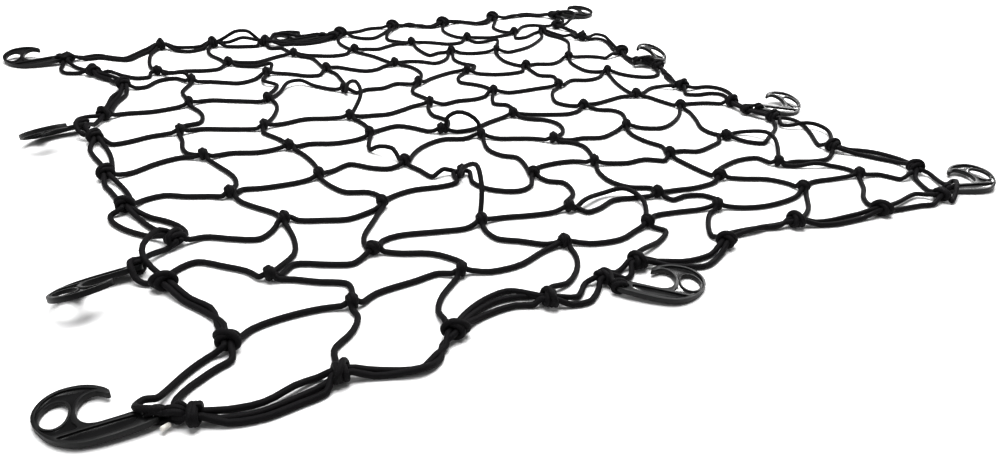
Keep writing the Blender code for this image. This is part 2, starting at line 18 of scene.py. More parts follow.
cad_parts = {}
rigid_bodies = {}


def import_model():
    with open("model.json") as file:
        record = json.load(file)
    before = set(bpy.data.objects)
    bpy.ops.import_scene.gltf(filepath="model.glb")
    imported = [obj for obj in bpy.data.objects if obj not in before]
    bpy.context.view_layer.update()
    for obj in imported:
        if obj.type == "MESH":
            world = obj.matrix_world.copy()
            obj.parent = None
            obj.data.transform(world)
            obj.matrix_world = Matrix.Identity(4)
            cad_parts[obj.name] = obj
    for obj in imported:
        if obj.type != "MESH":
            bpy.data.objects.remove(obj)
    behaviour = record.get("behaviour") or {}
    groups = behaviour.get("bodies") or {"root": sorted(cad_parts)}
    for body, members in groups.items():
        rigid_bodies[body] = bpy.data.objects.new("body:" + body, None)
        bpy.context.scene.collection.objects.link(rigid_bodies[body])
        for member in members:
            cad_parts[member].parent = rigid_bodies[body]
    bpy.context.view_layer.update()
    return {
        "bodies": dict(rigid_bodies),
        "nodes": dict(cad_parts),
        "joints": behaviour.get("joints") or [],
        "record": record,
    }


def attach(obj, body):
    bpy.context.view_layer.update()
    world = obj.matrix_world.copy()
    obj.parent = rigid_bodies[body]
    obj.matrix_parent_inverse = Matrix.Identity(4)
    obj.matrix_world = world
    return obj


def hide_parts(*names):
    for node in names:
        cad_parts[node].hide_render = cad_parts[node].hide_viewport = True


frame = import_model()

# %% [markdown]
# ## Camera
# A wide lens close to the near left corner gives the strong perspective of a net laid out on a
# table: the near hooks are large and the far edge is foreshortened. The camera is placed first,
# because how big a cord appears decides how much detail it needs.

# %% Camera
CAMERA_PLACE = (-0.52360, -1.0175, 0.4365)
CAMERA_TURN = (61.4571, -2.78, -29.5736)  # degrees about X, Y and Z
CAMERA_LENS = 29.52                       # mm, on a sensor 36 mm wide

camera_data = bpy.data.cameras.new("studio_camera")
camera_data.lens = CAMERA_LENS
camera_data.sensor_width = 36
camera = bpy.data.objects.new("studio_camera", camera_data)
camera.location = CAMERA_PLACE
camera.rotation_euler = [math.radians(angle) for angle in CAMERA_TURN]
bpy.context.scene.collection.objects.link(camera)
bpy.context.scene.camera = camera
print("camera height", round(camera.location.z, 3))

# %% [markdown]
# ## Where the cords run
# A slack net has no formula. Every knot lies where the cord let it fall, so the routes are tables
# of points listed one by one, the same ones that the solids follow. Positions are in centimetres
# from the middle of the net. A third number is how far the cord springs clear of the surface, in mm.
# A course is one cord that runs across the net, counted from the front. A file is one lengthwise
# cord, counted from the left.

# %% Knots of the netting, course by course, left to right
CM = 0.01
MM = 0.001
SHIFT = Vector((-0.00220, -0.0117, 0))  # centres the finished net's box on the origin
KNOTS = {
    1: ((-30.7, -39), (-18.8, -38.2), (-6, -37.6), (5.4, -37.7),
        (16, -37.8), (30, -38.5), (40.5, -38.6)),
    2: ((-36.2, -31), (-25.2, -30.5), (-11.8, -29.5), (-0.8, -30.8),
        (11.5, -32), (22.4, -31.3), (33.2, -31.2)),
    3: ((-31.5, -20.2), (-20.2, -20.8), (-7.8, -16.8), (0.4, -20.9),
        (9.8, -20.9), (21.2, -22.8), (33.2, -21)),
    4: ((-35.3, -11.4), (-24.3, -10.5), (-13, -11), (0.4, -6.8),
        (9.1, -12), (22, -11.9), (35.6, -8.2)),
    5: ((-35.7, 0.7), (-25, -0.5), (-13.6, -0.3), (-3.9, -2.9),
        (8.9, -1.2), (21.1, -2.2), (32.3, -1)),
    6: ((-36.7, 10.2), (-26, 7.8), (-13.8, 7), (-0.6, 7.8),
        (11.2, 8.9), (22.9, 7.7), (35.3, 11)),
    7: ((-33.4, 20.8), (-22.5, 18.5), (-10.4, 18.5), (1.8, 17.3),
        (12.2, 20), (23.3, 18.8), (33.6, 20.7)),
    8: ((-31, 31), (-19.3, 30.5), (-9.5, 29.5), (2.3, 28.2),
        (14.8, 31.2), (23, 29), (38.8, 38)),
    9: ((-35, 37.2), (-23.6, 38.2), (-12, 39.5), (-1.2, 38.2),
        (10.3, 39), (21.8, 38.4), (32.6, 38.8)),
}
print("knots tied in the netting:", sum(len(row) for row in KNOTS.values()))

# %% Knots of the edge, where the netting cords are tied to it, and corners
FRONT_KNOTS = ((-35.2, -48.6), (-24.1, -47.3), (-13.7, -46.6), (-1.5, -44.6), (10.4, -45.2), (21.5, -45),
               (33.8, -47.3))
BACK_KNOTS = ((-32, 51.5), (-23.5, 49.8), (-14.8, 47.8), (0, 48.8), (11.4, 50.4), (22, 49.4), (33.9, 50))
LEFT_KNOTS = ((-42.4, -40.3), (-45.5, -28.4), (-43, -20.3), (-46.4, -10.3), (-47.2, -0.6), (-47.1, 11.6),
              (-45, 19.7), (-40.8, 32), (-44.2, 40.4))
RIGHT_KNOTS = ((49.3, -40.6), (44.7, -30.5), (45.5, -18.2), (44.4, -10.4), (42.2, -0.9), (45.2, 9.4),
               (44.8, 19.5), (43.5, 30.7), (43.5, 40))
FRONT_RIGHT = (44.8, -47.8)
BACK_LEFT = (-46.9, 48.8)
BACK_RIGHT = (47.2, 47.4)
print("knots on the rim:", sum(map(len, (FRONT_KNOTS, BACK_KNOTS, LEFT_KNOTS, RIGHT_KNOTS))))

# %% Route points between the knots of each course, left to right
ACROSS = {
    1: (
        ((-40, -38.8), (-36.5, -38.2), (-33, -38.4)),
        ((-28, -38.1), (-23.5, -37.6), (-21, -37.3)),
        ((-16, -39.2), (-12.5, -39.3), (-9, -38)),
        ((-3, -38.8), (0.5, -39.3), (3.2, -38.4)),
        ((7.5, -36.4), (10, -36.6), (13.4, -37.3)),
        ((19, -39.2), (22, -40), (27, -39.8)),
        ((33, -37.4), (36, -37.8)),
        ((43.5, -39.5), (45, -41.7), (46.9, -41.7, 6)),
    ),
    2: (
        ((-44.6, -26.4), (-42, -25.1), (-39.5, -27.2), (-37.8, -29)),
        ((-33.3, -29.6), (-30.3, -31), (-28, -31.9)),
        ((-23.6, -28.9), (-21.6, -28.4), (-17, -29.4), (-14, -30)),
        ((-9, -29.4), (-6, -30.2), (-3, -30.7)),
        ((0.8, -32.3), (3, -32), (5.6, -31), (8.5, -31.6)),
        ((14.3, -31.9), (17.2, -32.4), (20.6, -32.2)),
        ((23.8, -29.6), (26.5, -28.5), (29.5, -28), (32, -28.6)),
        ((35.7, -31.5), (38.4, -32.5), (41, -32.8), (43, -31.9)),
    ),
    3: (
        ((-40, -20.3), (-37.3, -22), (-35, -23), (-33, -21.5)),
        ((-30, -20.7), (-27.4, -21.8), (-25, -22.6), (-22.3, -22)),
        ((-18.2, -19.3), (-15.4, -18.7), (-11.5, -19.2), (-9.5, -18.8)),
        ((-7.7, -19.7), (-6.8, -22.2), (-3.8, -24.1), (-1.6, -23.5)),
        ((1.9, -19.2), (6, -18.9), (8.3, -19.6)),
        ((11.8, -21.8), (14, -22.6), (17, -22.6), (19.3, -24)),
        ((23.9, -22.4), (25.7, -23.3), (29, -22.6), (31.4, -21.7)),
        ((35, -23.4), (36.9, -24.8), (39.5, -23.4), (43.4, -21)),
    ),
    4: (
        ((-44.2, -8.8), (-42, -8.5), (-39.8, -9.8), (-37.2, -10.9)),
        ((-33.6, -10.5), (-31.5, -11), (-27, -11.2)),
        ((-22, -9.6), (-19.6, -8.6), (-17.4, -10.8), (-15.6, -11.8)),
        ((-11, -9), (-8.5, -6.9), (-5, -5.7), (-2.2, -6.6)),
        ((2.3, -8.4), (4.5, -9.3), (7.1, -10.5)),
        ((11.6, -12.9), (13.4, -12.9), (16.2, -13.8), (19.5, -12.7)),
        ((24, -13), (26.6, -14.2), (29.2, -13.5), (33, -11)),
        ((38.4, -7.6), (41.2, -8.4), (43, -9.5)),
    ),
    5: (
        ((-44.4, -0.7), (-41.2, 1), (-38.1, 1.7)),
        ((-32.3, 0.7), (-29, -0.4)),
        ((-22.3, -0.2), (-19, -1.3), (-16.2, -1.3)),
        ((-11, 1), (-8.7, 1.3), (-7, -0.2), (-5.6, -2.2)),
        ((-1.8, -3.9), (0.8, -3.9), (3.7, -2.6), (6.6, -1.6)),
        ((11.2, -1.8), (14.1, -3), (17, -3.9), (19.2, -3.5)),
        ((24.2, -1.7), (27, -1.1), (30, -0.6)),
        ((34.6, -0.3), (36.8, 1), (38.8, 1.2), (40.5, -0.2, 4)),
    ),
    6: (
        ((-45.2, 9.4), (-43.2, 9.5), (-40.4, 10.3)),
        ((-34, 10.5), (-31, 9.2), (-28.4, 8.1)),
        ((-23, 8.2), (-19.8, 8.8), (-17, 7.9)),
        ((-10.6, 6.6), (-8.2, 6.2), (-5.6, 7), (-3, 8)),
        ((1.4, 7), (4, 7.5), (6.8, 7.2), (9, 7.8)),
        ((13.5, 8), (17, 7.9), (20, 8)),
        ((24.8, 8.4), (26.8, 9.5), (29.5, 8.6), (32.3, 9.2)),
        ((37, 9.2), (38.6, 7.2), (41, 6), (43.2, 6.6)),
    ),
    7: (
        ((-42.6, 20.3), (-38.6, 19.7), (-35.6, 20.1)),
        ((-30.2, 21.5), (-28, 20.4), (-25.3, 19)),
        ((-20, 21), (-17.6, 24, 5), (-15.6, 24.2, 5), (-14, 22.3), (-12.3, 20)),
        ((-9, 16.8), (-7, 17.6), (-4.4, 17.3), (-1.5, 18.5)),
        ((4.5, 18.7), (7.4, 20), (10, 20.8)),
        ((13.6, 18.4), (16.1, 17), (19, 16.5), (21.5, 16.9)),
        ((25.7, 19.6), (28.5, 18.7), (30.6, 19.4)),
        ((36.6, 20.5), (38.9, 19.5), (40.2, 18.2), (41.9, 18.6, 5)),
    ),
    8: (
        ((-39.2, 31), (-37.8, 31), (-35.4, 33.4), (-33, 33.6)),
        ((-28.8, 30.2), (-26.6, 29), (-24.4, 27.8), (-21.8, 28.7)),
        ((-17, 30.2), (-15.2, 29), (-13.4, 27.4), (-11.5, 27.2)),
        ((-7.4, 30.2), (-5.6, 28.2), (-3.6, 26.5), (-1.5, 26.7), (0.3, 27.9)),
        ((5.2, 29), (7.4, 28), (9.1, 26.4), (11, 27), (13, 29)),
        ((16.4, 30.3), (18.2, 29.4), (20.6, 29.2)),
        ((24.8, 27.8), (27, 28.2), (30, 29.3), (33.5, 31.7), (36.8, 34.9)),
        ((40.2, 36.4), (41, 33.6), (41.6, 31.9, 6)),
    ),
    9: (
        ((-42, 39.6, 4), (-40.2, 37.8), (-38.4, 35.8), (-36.6, 35.7)),
        ((-33, 36.7), (-30.8, 36.8), (-28.2, 36), (-25.8, 36)),
        ((-21.4, 38.2), (-19, 37.5), (-16.6, 38.6), (-14.3, 39.7)),
        ((-10, 38.5), (-8.5, 37.7), (-6, 36.6), (-3.4, 36.8)),
        ((1, 38.5), (3.1, 37.8), (5.4, 38.8), (8, 39.7)),
        ((12.5, 39.2), (14.6, 38), (16.8, 36.4), (19.4, 36.5)),
        ((24, 38.6), (26.6, 37.6), (29.2, 38)),
        ((34.9, 40.8), (37.2, 42.8), (39.5, 43), (41.4, 41.6)),
    ),
}
print("points across:", sum(len(span) for spans in ACROSS.values() for span in spans))

# %% Route points between the knots of each file, from the front edge back
ALONG = {
    1: (
        ((-35, -46.6), (-34.5, -44.8), (-32.2, -43), (-30.9, -41)),
        ((-30, -37.2), (-29.8, -35.3), (-32.3, -33.7), (-34.4, -32.2)),
        ((-34.4, -29.2), (-32.7, -27.6), (-31.9, -25.2), (-31.6, -22.2)),
        ((-31.9, -18), (-33.6, -15.4), (-34.6, -13.6)),
        ((-34, -9), (-33.7, -6.5), (-34.6, -2.8)),
        ((-37.2, 2.6), (-37.5, 4.4), (-37, 7.4)),
        ((-35.8, 12.4), (-33.6, 12.9), (-32.7, 15.2), (-32.8, 17.8)),
        ((-33.3, 24), (-33.3, 26.5), (-32, 29)),
        ((-31.5, 32.8, 9), (-33.3, 35.2, 4)),
        ((-35.5, 41.2), (-35, 45), (-34.2, 48.2)),
    ),
    2: (
        ((-24.2, -45.2, 4), (-23.9, -43.4), (-22.6, -41.4), (-20.3, -39.4)),
        ((-17.8, -36.7), (-18.8, -34.6), (-20, -33.3), (-22.8, -32)),
        ((-25.4, -28.4), (-24.7, -26.8), (-22.8, -24.4), (-21, -22.2)),
        ((-19.7, -18.6), (-20.5, -17.1), (-22.9, -16), (-23.9, -13.8)),
        ((-23.7, -7.5), (-24, -3.2)),
        ((-25.1, 2.2), (-25.9, 4.3), (-26.6, 6)),
        ((-23.8, 11.2), (-22.2, 14.6), (-21.8, 17)),
        ((-21.8, 20.6), (-19.3, 24.8), (-20.8, 26, 4), (-20.6, 28)),
        ((-18.3, 32.3), (-17.5, 34, 6), (-19.8, 35.3), (-22.2, 36.6)),
        ((-24.3, 41.2), (-25.1, 43.8), (-25.1, 46.6)),
    ),
    3: (
        ((-12.5, -45, 4), (-10, -44.4), (-7.6, -42.5), (-6.2, -40.2)),
        ((-7.8, -36.8), (-10, -35), (-12, -33.5), (-12.3, -31.6)),
        ((-11.1, -28, 8), (-10.1, -26.2, 28), (-9.4, -23.6, 42), (-9.4, -20.6, 28), (-8.8, -18.6, 12)),
        ((-9.9, -15.9, 6), (-11.6, -16.2), (-12.2, -13.8)),
        ((-13.6, -8.4, 11), (-14.8, -6.6, 9), (-15.5, -5.2), (-14.7, -2.8)),
        ((-12.9, 2.2), (-13, 4.6)),
        ((-12.2, 8.6, 9), (-10.6, 10.6, 22), (-10.3, 13.4, 30), (-10.6, 16, 20)),
        ((-9.4, 20.8), (-9, 24), (-8.8, 27)),
        ((-9.6, 33), (-9.8, 36.6)),
        ((-12.4, 42.6), (-12.8, 44.2), (-14.6, 44.8), (-14.8, 46.2)),
    ),
    4: (
        ((-0.2, -43.1, 4), (4.3, -41.4), (6.3, -39.9)),
        ((7.2, -35.3), (8.4, -32.8, 5), (7.8, -30, 7), (5, -29.4, 3), (1.6, -30.5, 6)),
        ((-0.2, -29.2), (2, -27.6), (2.7, -24.4), (1.2, -23.2)),
        ((1.1, -17.5), (1.3, -15.2), (-0.2, -13.8), (-0.9, -11.6), (-0.2, -8.8)),
        ((0.8, -5.2, 14), (-0.5, -4.2, 26), (-2, -3.6, 28), (-3.2, -3.3, 20)),
        ((-2.2, -1.5), (-1.2, 0.6), (-2.2, 3.2), (-1.7, 6)),
        ((0, 10), (-0.8, 13.6), (0.3, 15.8)),
        ((3.3, 19.6), (4.6, 22.6), (4.2, 26.2)),
        ((1.7, 30.4), (0.6, 34), (-0.7, 36.4)),
        ((-1.9, 40.6), (-2.1, 43.5), (-1.2, 46.8)),
    ),
    5: (
        ((10.4, -43), (11.9, -40.8), (14.1, -38.7)),
        ((17.5, -36.5), (16.8, -34.6), (14.6, -33.7), (12.4, -33.9)),
        ((12, -30.2), (9.6, -28.8), (8.4, -26.2), (9, -22.8)),
        ((11.1, -18.6), (11.9, -15.4), (10.9, -13.5)),
        ((12.1, -10), (13.3, -7.1), (12.5, -4.9), (10.2, -3.3)),
        ((10.2, 1.2), (10.3, 3), (8.8, 4.2), (9.6, 6.4)),
        ((11.4, 11.4), (10.4, 13.4), (8.6, 15.4), (9.4, 17.8)),
        ((14.3, 21.4), (15, 22.6), (13.6, 24.6), (13.3, 27)),
        ((12.4, 31.8), (10.4, 31), (9.9, 33.8), (10.1, 36.6)),
        ((8.8, 40.7), (7.3, 42.6), (7.8, 45), (9.6, 47.6, 4)),
    ),
    6: (
        ((23.6, -44.2), (26, -43), (28.8, -40.2)),
        ((29.6, -36.5), (28, -34.3), (25.2, -32.9)),
        ((21.6, -29), (21.3, -26.4)),
        ((22.2, -20), (21.3, -17.6), (21, -14.6)),
        ((23.6, -9.7), (25, -6.8), (24.4, -5.2), (22.6, -4.2)),
        ((19.2, -0.8), (18.2, 1), (18.8, 3), (20.6, 5.8)),
        ((24.2, 10.2), (24.9, 12.5), (23, 13.8), (23, 16.2)),
        ((22.1, 20.6), (21.4, 22.8), (21.7, 25.6)),
        ((24.6, 31.6), (26.2, 34.6, 4), (24.2, 35.4), (22.4, 35.6)),
        ((20.3, 40.6), (19.8, 43.6), (20.4, 46.4)),
    ),
    7: (
        ((34.4, -45), (35.4, -43.5), (37.8, -41.6)),
        ((41, -36.8), (39.7, -34.7), (37.5, -33.8, 4), (35, -32.8)),
        ((35.4, -29.2), (38.2, -25.6, 8), (38.7, -23.4, 9), (37.5, -21, 3), (35.3, -20.2)),
        ((32.4, -18.6), (32.5, -16.6), (34, -13.8), (35.5, -10.4)),
        ((34.8, -6), (34.2, -4), (33.8, -2.4)),
        ((32.4, 2), (33.2, 5.6), (34.4, 8.8)),
        ((33.2, 12), (32.2, 13), (32, 15.6), (32.4, 18.2)),
        ((35.2, 23), (37.8, 26.8), (39.6, 30), (39.6, 32.8), (38.6, 35.4)),
        ((36.4, 37.4), (33, 35.4), (31.2, 35.6)),
        ((30.8, 41), (30.8, 44.2), (33.2, 47.4, 3)),
    ),
}
print("points along:", sum(len(span) for spans in ALONG.values() for span in spans))

# %% [markdown]
# ## The hooks' places
# Each row gives a hook's eye, the heading of its shank, the side that its claw lies on, its roll
# about the shank and its dip along it, all in degrees, then the point on the rim that it is tied
# to and how many turns its lashing takes there. Three hooks have no such point, because the rim
# itself passes round them.

# %% Hook places
HOOK_COLUMNS = ("eye", "heading", "claw", "roll", "pitch", "tie", "turns")
HOOKS = {
    "front_left": ((-49.8, -47.3), 165, -1, 0, 3.4, (-48.2, -47.9), 1.6),
    "left_front": ((-47.6, -24.8), 197, 1, 22, -1.5, None, 0),
    "left_back": ((-48.2, 16.1), 202, 1, 27, -2.5, None, 0),
    "back_left": ((-48.5, 48.3), 164, -1, -10, 4, (-46.9, 48.8), 2.6),
    "back_middle": ((-4.4, 47.6), 170, -1, -2, 3.4, (-2.2, 47.3), 1.6),
    "back_right": ((49.2, 47.4), -10, 1, 7, 3.4, (47.2, 47.4), 2.6),
    "right_back": ((43.1, 12.5), 8, 1, 16, 4, (44.6, 11.2), 1.6),
    "right_front": ((46.2, -14.9), -11, 1, 11, 4, (44, -14.1), 1.6),
    "front_right": ((48.5, -46.6), -9, 1, 2, -3, None, 0),
    "front_middle": ((-5.8, -48), -30, 1, 0, 3.4, (-6.4, -45.6), 1.6),
}
HOOKS = {name: dict(zip(HOOK_COLUMNS, row)) for name, row in HOOKS.items()}
TIE_SPOTS = {name: row["tie"] for name, row in HOOKS.items() if row["tie"]}
print(len(HOOKS), "hooks, headings", [row["heading"] for row in HOOKS.values()])

# %% [markdown]
# ## The rim
# The rim is two cords that run round the net side by side, sometimes touching and sometimes
# springing apart. Each span between two stops is a row: one list of points where the pair lies
# together, or an outer and an inner list where the cords part. An empty list is a short span
# with no bend. The stops are the netting's rim knots, the places where a hook is tied, and the
# corners.

# %% Rim along the front and the right
NEAR_CORNER = TIE_SPOTS["front_left"]
SPARE_WRAP = (-46.8, -48.6)  # a short length wound round the rim beside the near corner
FRONT_STOPS = (NEAR_CORNER, SPARE_WRAP, *FRONT_KNOTS[:3], TIE_SPOTS["front_middle"], *FRONT_KNOTS[3:],
               FRONT_RIGHT)
FRONT_RIM = (
    ((),),
    (((-44.6, -50.1), (-42.1, -50.6), (-39.4, -50.3), (-37, -49.9)),
     ((-44.1, -48.6), (-41.7, -49.1, 2), (-38.9, -48.3, 3), (-37, -47.8))),
    (((-32.6, -49.4), (-28.8, -50.6), (-27.1, -49.8), (-25.8, -48.5)),),
    (((-21, -46), (-17, -45.6), (-15.3, -46.3)), ((-21.6, -44.7), (-18.4, -43.3), (-16, -43.2))),
    (((-11.8, -47.9), (-9.9, -48.1), (-8, -46.8)), ((-10.5, -46.9), (-8.4, -45.2))),
    (((-4.2, -46.3), (-3.2, -45.9)), ((-4.4, -44.9), (-3.3, -44.5))),
    (((1.9, -46.4), (5.1, -47.8), (8.3, -46.7)), ((1.1, -44.9), (4, -46.2), (7.4, -46.2))),
    (((12.3, -43.9), (16.1, -44), (19.4, -44.5)),),
    (((24.2, -46.4), (26, -47), (30.3, -47.4)), ((24.4, -45.7), (26, -46.1), (30.4, -46.4))),
    (((35.7, -47.5), (36.9, -47.7), (38.7, -47.9), (40.7, -48.2), (42.1, -48.6)),
     ((36.2, -46.7, 2), (38.5, -46.5, 2), (40.4, -46.1, 2), (42.4, -45.9, 2), (43.5, -46.6, 2))),
)
RIGHT_STOPS = (FRONT_RIGHT, *RIGHT_KNOTS[:3], TIE_SPOTS["right_front"],
               *RIGHT_KNOTS[3:6], TIE_SPOTS["right_back"], *RIGHT_KNOTS[6:], BACK_RIGHT)
RIGHT_RIM = (
    (((45.1, -49.1, 1), (46.4, -48.6, 3), (47.4, -48, 7), (48.6, -47.2, 9), (50.2, -46, 6),
      (50.4, -45.4, 2), (49.2, -45.7, 2), (48.5, -45.6, 3), (49.3, -44.1, 1), (50, -42.3, 2)),
     ((45.3, -45.8), (46.1, -44), (47.1, -42.4, 1))),
    (((51, -38.2), (50.6, -35.9), (49.4, -33.6), (47, -31.8)),
     ((49.6, -37.8), (48.2, -35.6), (46.6, -33.2))),
    (((47.2, -28.2, 3), (49.4, -25.4, 4), (49.1, -23.4, 6), (47.2, -22.4, 7), (45.8, -21.8, 3),
      (44.8, -20.8, 2)),
     ((44.1, -28.7), (46.8, -24.6), (48.5, -21.4), (48.4, -19.8, 1), (47.1, -19, 3))),
    ((),),
    ((),),
    (((46.4, -8.7), (48.2, -6), (48.4, -3.7), (47.1, -2), (44.6, -1.6)),
     ((45.8, -8.2), (46.4, -6), (45, -4.8), (42.4, -4.6), (40.8, -3.6))),
    (((42.8, 1.8), (44, 5.2), (45, 7)),),
    ((),),
    (((44.5, 13.4, 9), (43.9, 14.6, 4), (43.9, 16, 2), (44.7, 18.2, 1)),
     ((43.6, 11.9, 6), (43, 12.8, 2), (43.2, 14.6), (44, 17.6))),
    (((45.7, 22, 2), (46.9, 26, 4), (47.9, 29.6, 5), (47, 31, 5), (45.4, 30.9, 2)),
     ((45, 22.4), (46.4, 25.6), (46.9, 28.4, 1), (46, 29.6, 1), (44.6, 29.9))),
    (((44, 33.6), (44.7, 35.4), (44.4, 37.4)),),
    (((44.9, 40.7), (46.2, 40.6, 3), (47.6, 41.3, 8), (49.3, 42.6, 10), (50.6, 44.2, 12),
      (50.5, 45.4, 14), (49.5, 46.4, 13), (48.4, 46.9, 11)),
     ((44.6, 42.1), (46, 42.4), (47.5, 43.5, 1), (48, 45, 2), (47.6, 46.2, 4))),
)
print("spans in front and on the right:", len(FRONT_RIM), "and", len(RIGHT_RIM))

# %% Rim along the back and the left
BACK_STOPS = (BACK_LEFT, *BACK_KNOTS[:3], TIE_SPOTS["back_middle"], *BACK_KNOTS[3:], BACK_RIGHT)
BACK_RIM = (
    (((-44.7, 49.9), (-42.4, 50.4), (-40.8, 48.8), (-38.6, 47.2), (-36.6, 49), (-34.4, 51.4)),
     ((-44.4, 48.8), (-42, 48.8), (-40.2, 47.2), (-38.2, 46), (-36, 48.2), (-34.2, 50))),
    (((-29.8, 50.2, 2), (-28, 49.4, 2), (-25.8, 49.3, 2)), ((-30, 48.9), (-28, 47.6), (-25.6, 48.4))),
    (((-21.2, 49.6, 14), (-19.6, 49, 24), (-17.6, 48.6, 24), (-16.2, 48.8, 12)),
     ((-21.4, 48.4), (-18.3, 47.3), (-16.4, 47))),
    (((-12.2, 46.6), (-8.6, 45.8), (-5.4, 46)),),
    ((),),
    (((1.9, 49.9), (4, 50.2), (6.8, 51.4), (9.2, 51.2)),
     ((1.6, 47.4), (3, 45.4), (5, 44.8), (7.6, 46.8), (9.8, 49))),
    (((13.6, 51.4), (15.2, 51.1), (17, 49.5), (19.2, 48.7)),),
    (((25.1, 50.2), (27.4, 49.3), (28.6, 48), (31, 47.8)),),
    (((36.9, 50.2), (38.9, 50.5), (42.4, 50.7), (45, 49.4)),),
)
LEFT_STOPS = (NEAR_CORNER, *LEFT_KNOTS, BACK_LEFT)
LEFT_RIM = (
    (((-48.9, -47.5, 9), (-49.5, -47.6, 13), (-50.2, -47.2, 13), (-50.6, -46.5, 10), (-50.5, -45.8, 7),
      (-49.9, -45.3, 6), (-49, -45.4, 5), (-48.2, -44.5, 2), (-47, -43.2), (-45.5, -42), (-43.9, -41.1)),
     ((-47.7, -45.9, 2), (-46.8, -44.8), (-45.3, -43.8), (-44.1, -43.1), (-42.6, -42.4))),
    (((-42.3, -37.6), (-42.7, -34.5), (-44.1, -31.8)),),
    (((-46.4, -27.5, 1), (-47.1, -27.1), (-47.7, -26.4, 3), (-47.9, -25.7, 10), (-47.9, -24.9, 13),
      (-47.5, -24.3, 12), (-46.7, -23.7, 8), (-45.5, -22.4, 4), (-44, -21.4, 1)),
     ((-45.6, -27, 5), (-46.2, -25.6, 9), (-46.6, -24.5, 15), (-46.4, -23.2, 19), (-45.5, -21.8, 21),
      (-44.4, -20.2, 18), (-43.2, -19.4, 8))),
    (((-45.4, -17.6), (-47.2, -15.2), (-48.2, -12.6), (-48, -11.2)),
     ((-43.2, -18.6), (-44.2, -16.9), (-45, -15), (-45.6, -12.9))),
    (((-46.8, -8.2), (-47.3, -5.1), (-47.7, -3)), ((-45.6, -8), (-46.1, -3.7))),
    (((-47.3, 2.7), (-47.9, 6.5), (-48, 9.1)), ((-46.3, 1.8), (-46, 5.6), (-46.2, 8.8))),
    (((-48.3, 12.9, 5), (-48.8, 13.8, 9), (-48.9, 14.6, 14), (-48.7, 15.6, 14), (-48.1, 18, 9),
      (-46.9, 19.2, 6)),
     ((-47.5, 13.1, 4), (-47.8, 14, 10), (-47.4, 15.2, 10), (-46.6, 16.6, 3), (-45.9, 17.9, 3))),
    (((-44.7, 22.4), (-43.9, 25), (-42.9, 28.2), (-41.7, 30)), ((-43.8, 22), (-42.8, 25), (-41, 28.4))),
    (((-41.7, 34.6), (-42.6, 37), (-43.6, 38.6)),),
    (((-46, 41.4), (-47.9, 42.2), (-48.5, 44.2), (-48, 46.6)), ((-45, 42.6), (-46, 44.2), (-46.6, 46))),
)
print("spans at the back and on the left:", len(BACK_RIM), "and", len(LEFT_RIM))

# %% Loose third strands, each beside the pair for one span
LOOSE_STRANDS = (
    (BACK_KNOTS[2], (-13.4, 48.8, 6), (-12.6, 49.6, 11), (-11.4, 50.4, 9), (-9.8, 50.7, 7),
     (-8.2, 50.3, 2), (-6.6, 49.5, 3), (-4.8, 48.6, 7), TIE_SPOTS["back_middle"]),
    (LEFT_KNOTS[2], (-41.7, -18.9), (-41.8, -17.3), (-42.8, -15.3), (-44.4, -13.4), LEFT_KNOTS[3]),
    (LEFT_KNOTS[7], (-41, 34.8, 3), (-42, 37.2, 4), (-43.2, 39, 3), LEFT_KNOTS[8]),
    (LEFT_KNOTS[7], (-41.9, 28.6), (-43.2, 25.6), (-44.3, 22.6), LEFT_KNOTS[6]),
    (SPARE_WRAP, (-45.2, -49.3), (-42.6, -49.9), (-39.8, -49.6), (-37.2, -49.1), FRONT_KNOTS[0]),
    (FRONT_KNOTS[1], (-21.4, -45.3), (-17.8, -44.2), (-14.9, -44.9), FRONT_KNOTS[2]),
    (BACK_KNOTS[1], (-21, 48.9, 6), (-18.6, 48.2, 14), (-16, 47.8, 8), BACK_KNOTS[2]),
)
print("loose strands:", len(LOOSE_STRANDS))

# %% [markdown]
# ## From points to cord
# A cord under no load bends smoothly, so its line is a spline through the route's points. The
# centripetal Catmull-Rom spline is chosen because it passes through every point and never
# overshoots where long and short gaps meet, as they do beside a knot.

# %% Smooth line through points
FINE_STEP = 0.0008     # between the points that are tried on the curve
LONGEST_STEP = 0.009   # between two points that are kept, where the cord is straight
BEND_STEP = 16         # degrees of bend between two points that are kept
SMALLEST_GAP = 1e-6


def curve_points(points):
    """Closely spaced points on the curve through the given points."""
    ends = [points[0] * 2 - points[1]] + list(points) + [points[-1] * 2 - points[-2]]
    dense = [points[0].copy()]
    for before, start, stop, after in zip(ends, ends[1:], ends[2:], ends[3:]):
        gaps = [max((b - a).length, SMALLEST_GAP) ** 0.5
                for a, b in ((before, start), (start, stop), (stop, after))]
        t1, t2, t3 = gaps[0], gaps[0] + gaps[1], sum(gaps)
        count = max(1, round((stop - start).length / FINE_STEP))
        for k in range(1, count + 1):
            t = t1 + (t2 - t1) * k / count
            a = before.lerp(start, t / t1)
            b = start.lerp(stop, (t - t1) / (t2 - t1))
            c = stop.lerp(after, (t - t2) / (t3 - t2))
            d = a.lerp(b, t / t2)
            e = b.lerp(c, (t - t1) / (t3 - t1))
            dense.append(d.lerp(e, (t - t1) / (t2 - t1)))
    return dense


def smooth_line(points):
    """A smooth line through the points, with a new point after each small bend or long step."""
    dense = curve_points(points)
    line = [dense[0]]
    heading = dense[1] - dense[0]
    bent = 0
    for here, after in zip(dense[1:], dense[2:]):
        ahead = after - here
        bent += math.degrees(heading.angle(ahead, 0))
        heading = ahead
        if bent >= BEND_STEP or (here - line[-1]).length >= LONGEST_STEP:
            line.append(here)
            bent = 0
    if (dense[-1] - line[-1]).length < FINE_STEP and len(line) > 1:
        line.pop()
    line.append(dense[-1])
    return line


def line_length(line):
    """The length of a line in metres."""
    return sum((b - a).length for a, b in zip(line, line[1:]))


test_line = smooth_line([Vector((0, 0, 0)), Vector((0.4, 0, 0)), Vector((1, 0, 0))])
print("a straight test line of 1 m measures", round(line_length(test_line), 4))

